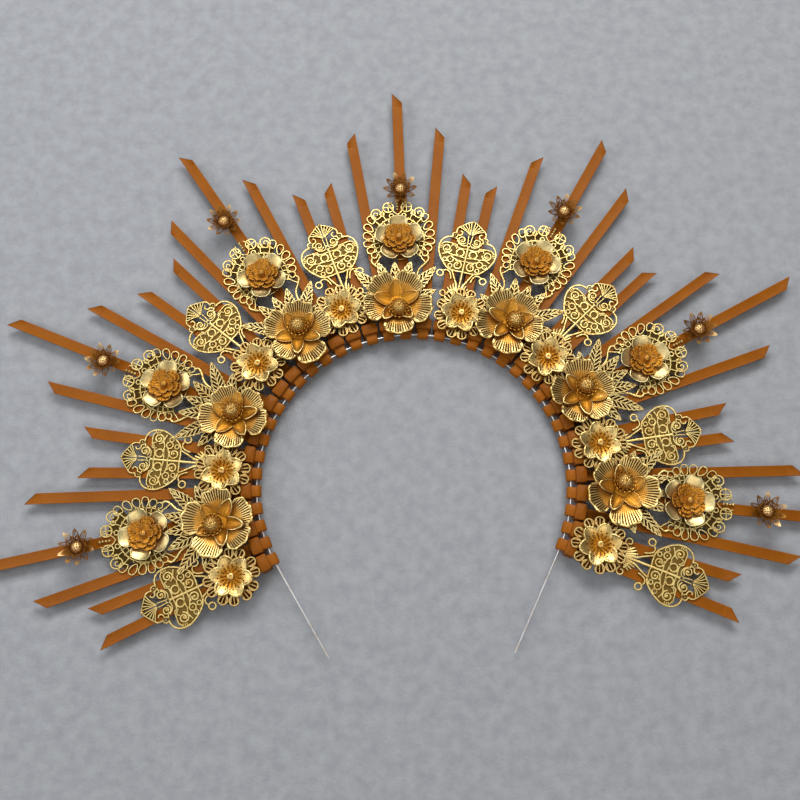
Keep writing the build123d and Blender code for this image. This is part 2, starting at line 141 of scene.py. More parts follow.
def turned(points, degrees):
    """Points turned anticlockwise about z: x' = x cos - y sin, y' = x sin + y cos."""
    c, s = np.cos(np.radians(degrees)), np.sin(np.radians(degrees))
    return points @ np.array([[c, s, 0.0], [-s, c, 0.0], [0.0, 0.0, 1.0]])


def moved(shape, x=0.0, y=0.0, z=0.0, turn=0.0):
    """The shape turned about z and then shifted."""
    return shape._replace(points=turned(shape.points, turn) + (x, y, z))


def mirrored(shape):
    """The shape with x turned to -x. Its faces are read backwards, so that they still face out."""
    quads = shape.faces[:, ::-1].copy()
    three = shape.faces[:, 3] < 0
    quads[three] = np.column_stack([shape.faces[three][:, 2::-1], np.full(three.sum(), -1)])
    return Shape(shape.points * (-1, 1, 1), quads, shape.tone)


def grid(x, y, z):
    """Points of three numbers each, from arrays or numbers spread to the same rows and columns."""
    return np.stack(np.broadcast_arrays(x, y, z), -1)


def heading(angle):
    """A step of one at an angle in degrees, clockwise from +y: (sin, cos)."""
    return np.array([np.sin(np.radians(angle)), np.cos(np.radians(angle))])


def dish(ball_r, out):
    """How high a ball's underside is at a distance out from its lowest point: R - sqrt(R^2 - out^2)."""
    return ball_r - np.sqrt(np.maximum(ball_r**2 - out**2, 0.0))


def band_faces(rings, sides, closed=False):
    """The quads between rings of points that follow each other: a corner, the next one, and the same
    two on the ring after. A closed band joins its last ring to the first."""
    here = np.arange(rings if closed else rings - 1)[:, None] * sides
    there = (here + sides) % (rings * sides)
    spot = np.arange(sides)[None, :]
    after = (spot + 1) % sides
    return np.stack([here + spot, here + after, there + after, there + spot], -1).reshape(-1, 4)


def fan_faces(tip, ring, flipped=False):
    """Triangles from a tip to the sides of a ring."""
    fan = np.column_stack([np.full(len(ring), tip), ring, np.roll(ring, -1), np.full(len(ring), -1)])
    return fan[:, [0, 2, 1, 3]] if flipped else fan


def both_sides(shapes):
    """The shapes and their mirror images across the y axis."""
    right = join(shapes)
    return join([right, mirrored(right)])


def around(shape, count, first=0.0):
    """The shape repeated at even angles about z."""
    return join(moved(shape, turn=first + 360 / count * k) for k in range(count))


def on_ray(shape, number, out, side, turn=0.0):
    """The shape at a radius and a clockwise offset on the ray of that tie."""
    here = moved(shape, side, out, 0.0, turn)
    return moved(here, turn=TIE_PITCH * (TOP_TIE - number))


print("a turned point:", turned(np.array([[0.0, 1.0, 0.0]]), TIE_PITCH).round(3))

# %% [markdown]
# ## Rods: the lines of the filigree
# Filigree is drawn with lines of metal, and so are rims, ribs, veins and the wire itself. One function
# makes them all: it carries an oval along a path. Each ring of points is path + w cos(a) side +
# h sin(a) up, where side is level and square to the path. Blender curves with a bevel would also work,
# but hundreds of small curves are slow, and their tones could not be painted. The tone rises down the
# sides of each line: this is painted shade, a dark side under a pale top, as light falls on a round wire.

# %% A rod along a path
# Painted shade on every rod: its sides darken below the top, and the middle of each end cap takes a mid
# tone to match.
UNSHADED_TOP = 0.88
CAP_TONE = 0.6


def rod(path, half_w, half_h=None, sides=6, closed=False, tone=0.0, patina=0.75):
    """An oval tube along the rows of path, closed into a loop or with a blunt cap at each end. Its tone
    is the given one, plus the side shade times how far a point lies below the line's top: painted shade
    down the sides of the line."""
    path = np.asarray(path, float)
    count = len(path)
    half_w = np.broadcast_to(half_w, count)
    half_h = half_w if half_h is None else np.broadcast_to(half_h, count)
    if closed:
        along = np.roll(path, -1, axis=0) - np.roll(path, 1, axis=0)
    else:
        along = np.gradient(path, axis=0)
    along = along / np.linalg.norm(along, axis=1, keepdims=True)
    side = np.cross(along, (0.0, 0.0, 1.0))
    side = side / np.maximum(np.linalg.norm(side, axis=1, keepdims=True), 1e-9)
    up = np.cross(side, along)
    angle = np.linspace(0.0, 2 * np.pi, sides, endpoint=False) + np.pi / sides * (sides == 4)
    wide = half_w[:, None, None] * np.cos(angle)[None, :, None] * side[:, None, :]
    tall = half_h[:, None, None] * np.sin(angle)[None, :, None] * up[:, None, :]
    points = (path[:, None, :] + wide + tall).reshape(-1, 3)
    faces = band_faces(count, sides, closed)[:, [0, 3, 2, 1]]
    if not closed:
        ring = np.arange(sides)
        near = fan_faces(count * sides, ring)
        far = fan_faces(count * sides + 1, ring + (count - 1) * sides, True)
        faces = np.concatenate([faces, near, far])
        points = np.concatenate([points, path[:1], path[-1:]])
    # Painted shade: how far each point of a ring lies below the top of the line.
    below = np.clip(UNSHADED_TOP - np.sin(angle), 0.0, 1.0)
    tones = (np.broadcast_to(tone, count)[:, None] + patina * below[None, :]).ravel()
    return Shape(points, faces, np.concatenate([tones, np.full(len(points) - len(tones), CAP_TONE)]))


def smooth_path(corners, count):
    """A smooth path through the corners: on each stretch, the cubic whose slope at a corner is half
    the step between that corner's two neighbours."""
    corners = np.asarray(corners, float)
    padded = np.concatenate([2 * corners[:1] - corners[1:2], corners, 2 * corners[-1:] - corners[-2:-1]])
    place = np.linspace(0.0, len(corners) - 1, count)
    step = np.minimum(place.astype(int), len(corners) - 2)
    t = (place - step)[:, None]
    a, b, c, d = (padded[step + k] for k in range(4))
    return b + 0.5 * t * (c - a + t * (2 * a - 5 * b + 4 * c - d + t * (3 * (b - c) + d - a)))


def level(path, z):
    """A flat path lifted to height z."""
    return grid(*np.asarray(path, float).T, z)


def flat_rod(path, z, half_w, half_h=None, **rest):
    """A rod along a flat path at height z."""
    return rod(level(path, z), half_w, half_h, **rest)


def arc(x, y, r, start=0.0, stop=360.0, count=16, r_end=None, squash=1.0):
    """Points on an arc, or on a spiral if r_end is given; angles run anticlockwise from +x."""
    whole = stop - start == 360.0 and r_end is None
    angle = np.radians(np.linspace(start, stop, count, endpoint=not whole))
    radius = np.linspace(r, r if r_end is None else r_end, count)
    return np.column_stack([x + radius * squash * np.cos(angle), y + radius * np.sin(angle)])


sample = flat_rod(arc(0, 0, 2.0), 0.0, 0.3, closed=True)
print("one ring of wire:", len(sample.points), "points", len(sample.faces), "faces")

# %% [markdown]
# ## Sheets, beads and solid blocks
# Petals and leaves are pressed from sheet, so they are thin closed shells: a grid of points for the
# upper face, the same grid again a little lower along the normal, and a band that joins their edges.
# Beads are balls whose surface is pressed in at a set of directions and painted dark there, painted shade
# which reads as piercing.

# %% Sheets and beads
def sheet(top, thickness, tone=0.0):
    """A closed plate from a grid of points with three numbers each. The lower grid is the upper one
    moved against its normal, which is the product of the steps along and across the grid."""
    steps = np.cross(np.gradient(top, axis=1), np.gradient(top, axis=0))
    tone = np.broadcast_to(tone, top.shape[:2])
    if steps[..., 2].sum() < 0:
        top, steps, tone = top[:, ::-1], -steps[:, ::-1], tone[:, ::-1]
    normal = steps / np.maximum(np.linalg.norm(steps, axis=2, keepdims=True), 1e-9)
    rows, cols = top.shape[:2]
    number = np.arange(rows * cols).reshape(rows, cols)
    quads = np.stack([number[:-1, :-1], number[:-1, 1:], number[1:, 1:], number[1:, :-1]], -1)
    quads = quads.reshape(-1, 4)
    edge = np.concatenate([number[0, :-1], number[:-1, -1], number[-1, :0:-1], number[:0:-1, 0]])
    after = np.roll(edge, -1)
    below = rows * cols
    band = np.column_stack([after, edge, edge + below, after + below])
    points = np.concatenate([top.reshape(-1, 3), (top - thickness * normal).reshape(-1, 3)])
    return Shape(points, np.concatenate([quads, quads[:, ::-1] + below, band]), np.tile(tone.ravel(), 2))


def flat_sheet(radii, angles, z, tone, thickness=0.2, x=0.0, y=0.0):
    """A level plate between radii, over angles that run clockwise from +y."""
    radius, angle = np.array(radii)[:, None], np.radians(angles)
    return sheet(grid(x + radius * np.sin(angle), y + radius * np.cos(angle), z), thickness, tone)


SHOULDER = 0.95


def rim_line(start, sides, across, top=1.0, side_t=1.0, top_t=1.0):
    """s and t along a petal's edge: up one side from start, round the rim and down the other side."""
    rise = np.linspace(start, SHOULDER, sides)
    s = np.concatenate([rise, np.full(across, top), rise[::-1]])
    rim_t = np.linspace(-top_t, top_t, across)
    t = np.concatenate([np.full(sides, -side_t), rim_t, np.full(sides, side_t)])
    return s, t


def spun(radius, height, count=24, tone=0.0):
    """A form turned on a lathe: rings of the given radii and heights from the lowest point up to the
    highest. Both ends close in a fan of triangles."""
    radius, height = np.asarray(radius, float)[:, None], np.asarray(height, float)[:, None]
    angle = np.linspace(0, 2 * np.pi, count, endpoint=False)
    rings = grid(radius * np.cos(angle), radius * np.sin(angle), height).reshape(-1, 3)
    points = np.concatenate([rings, [[0, 0, height[0, 0]], [0, 0, height[-1, 0]]]])
    ring = np.arange(count)
    low = fan_faces(len(rings), ring, True)
    high = fan_faces(len(rings) + 1, ring + (len(radius) - 1) * count)
    faces = np.concatenate([band_faces(len(radius), count), low, high])
    tones = np.broadcast_to(tone, len(radius))
    tones = np.concatenate([np.repeat(tones, count), tones[:1], tones[-1:]])
    return Shape(points, faces, tones.astype(float))


def ball(radius, x=0.0, y=0.0, z=0.0, count=8, rows=5, tone=0.0):
    """A small plain ball: ring radii are r cos(latitude), heights r sin(latitude)."""
    latitude = np.radians(np.linspace(-80, 80, rows))
    return moved(spun(radius * np.cos(latitude), radius * np.sin(latitude), count, tone), x, y, z)


PIT_DEPTH = 0.16


def pierced_dome(radius, pit_rows, pit_width, around_count=48, rows=14, pale=0.1):
    """A ball with pits: each radius is cut by the share depth exp(-(g / width)^2), where g is the angle
    from the nearest pit, and the tone rises to 1 at the pit's middle: painted shade, so that the pit
    reads as a dark hole."""
    latitude = np.radians(np.linspace(-25.0, 88.0, rows))
    dome = spun(radius * np.cos(latitude), radius * np.sin(latitude), around_count)
    pits = []
    for pit_latitude, number in pit_rows:
        turn = np.radians(np.linspace(0, 360, number, endpoint=False) + 7.0 * pit_latitude)
        rise = np.radians(pit_latitude)
        pits.append(grid(np.cos(rise) * np.cos(turn), np.cos(rise) * np.sin(turn), np.sin(rise)))
    pits = np.concatenate(pits)
    direction = dome.points / np.linalg.norm(dome.points, axis=1, keepdims=True)
    angle = np.degrees(np.arccos(np.clip(direction @ pits.T, -1, 1))).min(axis=1)
    press = np.exp(-((angle / pit_width) ** 2))
    # Painted shade: the tone is pale + (1 - pale) press, dark in each pit.
    return Shape(dome.points * (1 - PIT_DEPTH * press)[:, None], dome.faces, pale + (1 - pale) * press)


print("one pierced dome:", len(pierced_dome(3.3, [(50, 10)], 6).faces), "faces")

# %% [markdown]
# ## From shape to Blender piece
# A finished shape becomes a mesh in metres, smooth except at real edges, with its tone stored as an
# attribute that the materials read. Each piece rides on the crown's one body, hides the CAD node that
# it stands for, and takes its finish as its one material.

# %% Make a piece
made = {}


def make_piece(name, shape, finish, node, sharp=55.0):
    """Writes the shape into a mesh with foreach_set. Faces are stored as one long row of corners, and
    each face is told where its corners start."""
    mesh = bpy.data.meshes.new(name)
    used = shape.faces >= 0
    corners = shape.faces[used]
    sizes = used.sum(axis=1)
    mesh.vertices.add(len(shape.points))
    mesh.vertices.foreach_set("co", (shape.points * MM).astype(np.float32).ravel())
    mesh.loops.add(len(corners))
    mesh.loops.foreach_set("vertex_index", corners.astype(np.int32))
    mesh.polygons.add(len(sizes))
    mesh.polygons.foreach_set("loop_start", (np.cumsum(sizes) - sizes).astype(np.int32))
    mesh.update(calc_edges=True)
    mesh.polygons.foreach_set("use_smooth", np.ones(len(sizes), bool))
    mesh.set_sharp_from_angle(angle=np.radians(sharp))
    tone = mesh.attributes.new("tone", "FLOAT", "POINT")
    tone.data.foreach_set("value", shape.tone.astype(np.float32))
    mesh.materials.append(finish)
    piece = bpy.data.objects.new(name, mesh)
    bpy.context.scene.collection.objects.link(piece)
    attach(piece, "root")
    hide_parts(node)
    made[name] = int((sizes - 2).sum())


# %% [markdown]
# ## Finishes
# The plated metal is one family of finishes: a colour ramp reads the tone, so that rims are pale,
# hollows amber, partly as painted reflection, and the painted shade dark. Gold plate is never flat: the
# colour wanders a little, small dents break the shine, and the polish varies. Nylon is warm, slightly
# see-through and satin, with faint streaks from moulding; its tone paints shade in the teeth's grooves
# and darkens the heads.

# %% Material helpers
WHITE = (1.0, 1.0, 1.0)
NOISE_ROUGHNESS = 0.55
WANDER_CELLS = 260.0
POLISH_CELLS = 700.0
DENT_CELLS = 1100.0
DENT_DEPTH = 0.0004
HOLLOW_ROUGHNESS = 0.75


def new_finish(name):
    """An empty node material, with its tree, its main shader and object coordinates."""
    material = bpy.data.materials.new(name)
    material.use_nodes = True
    tree = material.node_tree
    place = tree.nodes.new("ShaderNodeTexCoord").outputs["Object"]
    return material, tree, tree.nodes["Principled BSDF"], place


def add_node(tree, kind, values, **sources):
    """A new node. Its inputs get the given values or are linked to the sources."""
    node = tree.nodes.new("ShaderNode" + kind)
    for name, value in values.items():
        node.inputs[name].default_value = value
    for name, source in sources.items():
        tree.links.new(source, node.inputs[name])
    return node


def noise(tree, place, scale, detail=3.0):
    """Soft random variation, so many cells per metre."""
    values = {"Scale": scale, "Detail": detail, "Roughness": NOISE_ROUGHNESS}
    return add_node(tree, "TexNoise", values, Vector=place).outputs["Fac"]


def ramp(tree, source, stops):
    """A colour ramp with the given (position, colour) stops."""
    node = add_node(tree, "ValToRGB", {}, Fac=source)
    band = node.color_ramp
    for k, (position, colour) in enumerate(stops):
        stop = band.elements[k] if k < 2 else band.elements.new(position)
        stop.position = position
        stop.color = (*colour, 1.0)
    return node.outputs["Color"]


def spread(tree, source, low, high):
    """A value between 0 and 1 stretched to run from low to high."""
    return add_node(tree, "MapRange", {"To Min": low, "To Max": high}, Value=source).outputs["Result"]


def tinted(tree, colour, shade, amount):
    """The colour multiplied by a second one, by the given amount."""
    node = tree.nodes.new("ShaderNodeMix")
    node.data_type = "RGBA"
    node.blend_type = "MULTIPLY"
    node.inputs["Factor"].default_value = amount
    tree.links.new(colour, node.inputs["A"])
    tree.links.new(shade, node.inputs["B"])
    return node.outputs["Result"]


def dented(tree, shader, height, distance, strength):
    """A bump on the shader from a height."""
    bump = add_node(tree, "Bump", {"Distance": distance, "Strength": strength}, Height=height)
    tree.links.new(bump.outputs["Normal"], shader.inputs["Normal"])


def stored_tone(tree):
    """The tone that the mesh holds for each point."""
    node = tree.nodes.new("ShaderNodeAttribute")
    node.attribute_name = "tone"
    return node.outputs["Fac"]


def plated(name, pale, amber, dark, shine, dent):
    """Plated sheet metal. The tone picks pale, amber or dark; shine is (low, high) roughness."""
    material, tree, shader, place = new_finish(name)
    tone = stored_tone(tree)
    # Painted light: the ramp's amber is partly painted reflection of gold in gold, and its dark end is
    # painted shade.
    colour = ramp(tree, tone, ((0.0, pale), (0.5, amber), (1.0, dark)))
    wander = noise(tree, place, WANDER_CELLS)
    tint = ramp(tree, wander, ((0.3, (0.78, 0.62, 0.42)), (0.62, WHITE)))
    tree.links.new(tinted(tree, colour, tint, 0.75), shader.inputs["Base Color"])
    polish = spread(tree, noise(tree, place, POLISH_CELLS), *shine)
    dull = add_node(tree, "Mix", {"B": HOLLOW_ROUGHNESS}, A=polish, Factor=tone)
    tree.links.new(dull.outputs["Result"], shader.inputs["Roughness"])
    dented(tree, shader, noise(tree, place, DENT_CELLS), DENT_DEPTH, dent)
    shader.inputs["Metallic"].default_value = 1.0
    return material


# %% The five metal finishes and the nylon
# Each row: the pale, amber and dark colours, roughness from and to, and the strength of the dents.
METALS = {
    "flower_gold": ((0.66, 0.53, 0.23), (0.58, 0.265, 0.026), (0.070, 0.030, 0.008), (0.20, 0.36), 0.3),
    "filigree_gold": ((0.78, 0.63, 0.26), (0.52, 0.34, 0.085), (0.045, 0.026, 0.008), (0.30, 0.46), 0.45),
    "rose_amber": ((0.71, 0.62, 0.32), (0.61, 0.285, 0.032), (0.15, 0.05, 0.007), (0.22, 0.40), 0.2),
    "star_bronze": ((0.93, 0.69, 0.35), (0.43, 0.21, 0.047), (0.07, 0.03, 0.008), (0.20, 0.42), 0.4),
    "wire_steel": ((0.78, 0.78, 0.80), (0.6, 0.6, 0.6), (0.2, 0.2, 0.2), (0.22, 0.4), 0.2),
}
metals = [plated(name, *row) for name, row in METALS.items()]
FLOWER_GOLD, FILIGREE_GOLD, ROSE_GOLD, STAR_BRONZE, WIRE_STEEL = metals


def nylon(name, bright, dull):
    """Moulded nylon: a warm satin plastic, a little light passing through, with soft streaks."""
    material, tree, shader, place = new_finish(name)
    stretch = add_node(tree, "Mapping", {"Scale": (1.0, 1.0, 3.0)}, Vector=place)
    cloud = noise(tree, stretch.outputs["Vector"], 90.0)
    colour = ramp(tree, cloud, ((0.3, dull), (0.7, bright)))
    # Painted shade: the tone darkens the nylon at the bottom of each tooth's groove; it also darkens the
    # heads.
    shade = ramp(tree, stored_tone(tree), ((0.0, WHITE), (1.0, (0.55, 0.5, 0.45))))
    tree.links.new(tinted(tree, colour, shade, 1.0), shader.inputs["Base Color"])
    satin = spread(tree, noise(tree, place, 500.0), 0.36, 0.55)
    tree.links.new(satin, shader.inputs["Roughness"])
    dented(tree, shader, noise(tree, place, 1800.0), 0.0003, 0.25)
    shader.inputs["Subsurface Weight"].default_value = 0.12
    shader.inputs["Subsurface Radius"].default_value = (0.0012, 0.0005, 0.0002)
    shader.inputs["Specular IOR Level"].default_value = 0.12
    return material


TIE_NYLON = nylon("caramel_nylon", (0.37, 0.115, 0.006), (0.31, 0.090, 0.004))
print("finishes:", [material.name for material in metals + [TIE_NYLON]])

# %% [markdown]
# ## The cable ties
# A cable tie is a flat strap with a band of fine cross teeth between two smooth rails, a square head, and
# here a small tight loop round the wire. The strap is one profile of eight points carried along its
# length. On every tooth the two middle points climb slowly and then drop, like the teeth of a saw.

# %% Strap, loop and head
STRAP_W = 4.8
STRAP_T = 1.2
TIP_SLANT = 5.0
TOOTH_ZONE_W = 3.3
TOOTH_DEPTH = 0.32
TOOTH_TOP = 0.06
TOOTH_PITCH = 1.0
# Painted shade in the strap's teeth: the bottom of each groove takes this tone.
GROOVE_SHADE = 0.6
STRAP_INSET = 1.0
TIP_MARGIN = 1.5
LOOP_R = 2.05
LOOP_HOLE_R = 0.6
HEAD_W = 7.0
HEAD_DEPTH = 4.6
HEAD_H = 7.8
HEAD_CORNER_R = 0.9
HEAD_EASE = 0.4
HEAD_TONE = 0.45
STRAP_TOP = WIRE_Z + STRAP_T / 2


def strap(length, point_side):
    """The tail of the tie: x and z of an eight-point profile, repeated at two rows a tooth. The last
    rows are drawn out to the slanted cut, whose end is length - slant (1/2 - side x / width)."""
    start = LOOP_R + HEAD_DEPTH - STRAP_INSET
    straight_end = length - TIP_SLANT - TIP_MARGIN
    teeth = int((straight_end - start) / TOOTH_PITCH)
    low = start + TOOTH_PITCH * np.arange(teeth)
    y = np.column_stack([low, low + 0.75 * TOOTH_PITCH]).ravel()
    tip = np.linspace(0.1, 1.0, 11)
    share = np.concatenate([np.zeros(len(y)), tip])[:, None]
    y = np.concatenate([y, np.full(len(tip), y[-1])])[:, None]
    sunk = np.resize([TOOTH_DEPTH, TOOTH_TOP], len(y))[:, None]
    rail, zone, edge = STRAP_W / 2, TOOTH_ZONE_W / 2, 0.12
    x = np.array([-rail + edge, rail - edge, rail, rail - edge, zone, -zone, -rail + edge, -rail])
    z = np.array([-STRAP_T, -STRAP_T, -STRAP_T / 2, 0, 0, 0, 0, -STRAP_T / 2])
    toothed = np.array([0, 0, 0, 0, 1, 1, 0, 0])
    cut = length - TIP_SLANT * (0.5 - point_side * x / STRAP_W)
    points = grid(x, y + share * (cut - y), STRAP_TOP + z - toothed * sunk).reshape(-1, 3)
    caps = np.array([[7, 0, 1, 2], [3, 4, 5, 6], [2, 3, 6, 7]])
    faces = np.concatenate([band_faces(len(y), 8)[:, ::-1], caps, caps[:, ::-1] + (len(y) - 1) * 8])
    # The tone is painted shade at the bottom of each tooth's groove.
    return Shape(points, faces, (toothed * (sunk > TOOTH_TOP) * GROOVE_SHADE).ravel())


def loop_round_wire():
    """The tight loop: an outline like a D in the y-z plane, drawn as rings from one side of the tie to
    the other, smaller at both sides for a soft edge, and joined back through the wire's hole, so that
    it is one closed band."""
    back = np.array([[LOOP_R, -LOOP_R], [LOOP_R + 0.4, 0.0], [LOOP_R, LOOP_R]])
    outline = np.concatenate([arc(0, 0, LOOP_R, 90, 270, 13), back])
    hole = LOOP_HOLE_R * outline / np.linalg.norm(outline, axis=1, keepdims=True)
    half, soft = STRAP_W / 2, 0.35
    ring_x = [-half, -half + soft, half - soft, half, half, -half]
    ring_yz = [outline * 0.88, outline, outline, outline * 0.88, hole, hole]
    points = np.concatenate([grid(x, *yz.T) for x, yz in zip(ring_x, ring_yz)])
    faces = band_faces(len(ring_x), len(outline), True)[:, ::-1]
    return moved(Shape(points, faces, np.zeros(len(points))), z=WIRE_Z)


def head():
    """The square head that the tail comes out of, a dull block with soft edges: a rectangle with round
    corners at six heights, smaller at the first and last."""
    angle = np.radians(np.arange(0, 360, 22.5) + 11.25)
    x = np.sign(np.cos(angle)) * (HEAD_W / 2 - HEAD_CORNER_R) + HEAD_CORNER_R * np.cos(angle)
    y = np.sign(np.sin(angle)) * (HEAD_DEPTH / 2 - HEAD_CORNER_R) + HEAD_CORNER_R * np.sin(angle)
    heights = [0, HEAD_EASE, 0.3 * HEAD_H, 0.7 * HEAD_H, HEAD_H - HEAD_EASE, HEAD_H]
    block = spun(np.ones(6), heights, len(x), HEAD_TONE)
    inset = np.array([HEAD_EASE, 0, 0, 0, 0, HEAD_EASE])[:, None]
    level_z = np.array(heights)[:, None]
    rings = grid(x * (1 - 2 * inset / HEAD_W), y * (1 - 2 * inset / HEAD_DEPTH), level_z)
    block.points[: 6 * len(x)] = rings.reshape(-1, 3)
    return moved(block, y=LOOP_R + HEAD_DEPTH / 2)


TIE_LOOP = loop_round_wire()
TIE_HEAD = head()


def cable_tie(length, point_side):
    return join([TIE_LOOP, TIE_HEAD, strap(length, point_side)])


print("one long tie:", len(cable_tie(122.0, 1).faces), "faces")

# %% [markdown]
# ## Fifteen fans of rays
# The CAD has one node for each pair of short ties and one for each three that carry a flower group. A
# tie's tip leans from its loop, so its turn is the lean times reach / length.

# %% Place the ties
def placed_tie(row, column):
    """One tie at its number on the arc, turned about its loop so that its tip leans as measured."""
    number = TIES_A_ROW * row + Five._fields.index(column) + 1
    reach, lean = getattr(REACH[row], column), getattr(LEAN[row], column)
    length = reach - WIRE_ARC_R
    tie = cable_tie(length, getattr(POINT_SIDE, column))
    return on_ray(tie, number, WIRE_ARC_R, 0.0, lean * reach / length)


def long_tie(k):
    """The number of the long tie that carries flower group k."""
    return TIES_A_ROW * k - 1


fans = []
for row in range(len(REACH)):
    fans.append([placed_tie(row, column) for column in ("short_a", "short_b")])
    if REACH[row].long is not None:
        fans.append([placed_tie(row, column) for column in ("mid_a", "long", "mid_b")])
for k, fan in enumerate(fans, start=1):
    make_piece(f"toothed_rays_{k:02d}", join(fan), TIE_NYLON, f"rays_{k:02d}", sharp=40.0)
print("rays:", len(fans), "fans,", sum(made.values()), "triangles")

# %% [markdown]
# ## The wire
# A bright drawn wire, bent to an open arc of 136 mm, with two straight tails that leave it along its
# tangents. It is one rod: an arc of 236 degrees with a straight run added at each end.

# %% Bend the wire
WIRE_R = 0.4
WIRE_HALF_ANGLE = 118.0
TAIL_LEFT = 44.5
TAIL_RIGHT = 46.5
bend = arc(0, 0, WIRE_ARC_R, 90 - WIRE_HALF_ANGLE, 90 + WIRE_HALF_ANGLE, 121)
run = np.linspace(1.0, 0.05, 6)[:, None]
right_tail = bend[0] + run * TAIL_RIGHT * heading(90 - WIRE_HALF_ANGLE) * (1, -1)
left_tail = bend[-1] + run[::-1] * TAIL_LEFT * heading(90 + WIRE_HALF_ANGLE) * (-1, 1)
wire_path = np.concatenate([right_tail, bend, left_tail])
drawn = flat_rod(wire_path, WIRE_Z, WIRE_R, sides=10, patina=0.3)
make_piece("drawn_wire", drawn, WIRE_STEEL, "wire")
print("wire ends at", wire_path[0].round(1), "and", wire_path[-1].round(1))

# %% [markdown]
# ## The blossom
# Each blossom is pressed sheet: five fan-shaped petals with a comb of ribs behind a scalloped rim, five
# pointed petals inside them, and a pierced dome in a small collar. The slots between the real ribs are
# open; here the petal is a sheet whose tone falls to dark in the comb zone, painted shade for the
# shadow in the slots, with pale ribs standing on it and a rim that ties them together. The petal is a
# map from (s, t) to a point: s runs from root to rim, t from one side to the other.

# %% The fan petal
PLATE_Z = 4.65
UPPER_Z = 5.65
BLOSSOM_Z = 7.7
PETALS = 5
FAN_REACH = 15.4
FAN_ROOT = 2.2


def fan_petal(s, t, lift=0.0):
    """Radius = root + (rim - root) s, with rim = reach (1 - 0.16 |t|^3) + a scallop cos(3 pi t). Angle =
    t (37 - 5.5 s) degrees. Height = a shallow ball of radius 32, with the sides and scallops raised and
    the rim rolled down by 0.5 s^8."""
    rim = FAN_REACH * (1 - 0.16 * np.abs(t) ** 3) + 0.35 * np.cos(3 * np.pi * t)
    radius = FAN_ROOT + (rim - FAN_ROOT) * s
    angle = np.radians(t * (37.0 - 5.5 * s))
    height = BLOSSOM_Z + 0.7 + dish(32.0, radius) - 0.5 * s**8
    height = height + 0.8 * t**2 * s + 0.3 * np.cos(3 * np.pi * t) * s**4 + lift
    return grid(radius * np.sin(angle), radius * np.cos(angle), height)


side_t = np.linspace(-1, 1, 15)
pan_s = np.concatenate([np.linspace(0, 0.52, 6), np.linspace(0.6, 0.99, 6)])[:, None]
# Painted shade: the pan's tone goes to dark in the comb zone, where the slots would show shadow.
comb_start = 0.58 + 0.08 * side_t**2
comb_shade_share = np.clip((pan_s - comb_start) / 0.08, 0, 1)
pan_tone = (0.52 - 0.16 * pan_s**2) * (1 - comb_shade_share) + 0.97 * comb_shade_share
fan_pan = sheet(fan_petal(pan_s, side_t), 0.3, pan_tone)
rib_s = np.array([0.3, 0.5, 0.62, 0.74, 0.86, 0.97])
rib_w = np.array([0.10, 0.17, 0.26, 0.32, 0.36, 0.40])
rib_tone = np.array([0.34, 0.26, 0.10, 0.04, 0.0, 0.0])
rib_paths = [fan_petal(rib_s, t, 0.1) for t in np.linspace(-0.9, 0.9, 13)]
comb = [rod(rib_path, rib_w, 0.24, sides=4, tone=rib_tone, patina=0.6) for rib_path in rib_paths]
rim_width = np.interp(np.arange(41), [0, 6, 34, 40], [0.16, 0.55, 0.55, 0.16])
fan_rim = rod(fan_petal(*rim_line(0.35, 6, 29, 0.985, 0.99, 0.97)), rim_width, 0.26)
FAN = join([fan_pan, fan_rim] + comb)
print("one fan petal:", len(FAN.faces), "faces")

# %% [markdown]
# ## Pointed petals, dome and collar
# The inner petals are cups with a bright folded rim that comes to a point, and amber inside. Their half
# width is 4.5 (1 - s)^0.62 (s + 0.12)^0.35, which is round at the root and pointed at the tip. The dome
# is pierced in rings and stands in a shallow bowl with two rings of small looped arches on its rim.

# %% The pointed petal
CUP_REACH = 10.4
CUP_ROOT = 2.6


def pointed_petal(s, t, lift=0.0, width=1.0, flare=1.0):
    """x = t w(s) width, y = root + length s, and the sides rise as t squared to make a cup. A flare
    below one lets the petal lie lower."""
    half = np.maximum(4.5 * np.clip(1 - s, 0, 1) ** 0.62 * (s + 0.12) ** 0.35, 0.1)
    x = t * half * width
    y = CUP_ROOT + (CUP_REACH - CUP_ROOT) * s
    side_rise = 1.1 * t**2 * np.sin(np.pi * np.clip(s, 0, 1)) ** 0.5
    return grid(x, y, BLOSSOM_Z + 1.2 + flare * (dish(17.0, np.hypot(x, y)) + side_rise) + lift)


cup_s = np.linspace(0, 0.97, 10)[:, None]
cup_t = np.linspace(-0.97, 0.97, 9)
cup_tone = 0.62 - 0.25 * cup_s + 0.08 * np.cos(4 * np.pi * cup_t)
fold_s = np.concatenate([np.linspace(0.05, 0.995, 14), np.linspace(0.995, 0.05, 14)[1:]])
fold_t = np.concatenate([np.full(14, -0.97), np.full(13, 0.97)])


def cup(fold_w, fold_tone, width, flare):
    """A pointed petal with its fold, whose half width is fold_w at the root and 0.26 mm more at the
    tip."""
    body = sheet(pointed_petal(cup_s, cup_t, 0.0, width, flare), 0.28, cup_tone)
    edge = pointed_petal(fold_s, fold_t, 0.1, width, flare)
    return join([body, rod(edge, fold_w + 0.26 * fold_s**2, 0.24, tone=fold_tone)])


# Painted light: besides their shapes, the standing cups' folds are painted pale and the pressed cups'
# folds darker.
STANDING_CUP = cup(0.16, -0.1, 1.05, 1.0)
PRESSED_CUP = cup(0.08, 0.26, 1.15, 0.72)

DOME_R = 3.3
DOME_Z = BLOSSOM_Z + 4.6
DOME_PITS = [(80, 4), (62, 9), (45, 13), (28, 16), (11, 18)]
DOME_SPREAD = 1.03
DOME = pierced_dome(DOME_R, DOME_PITS, 5.2, 60, 20, pale=0.02)
DOME = moved(DOME._replace(points=DOME.points * (DOME_SPREAD, DOME_SPREAD, 1.0)), z=DOME_Z)


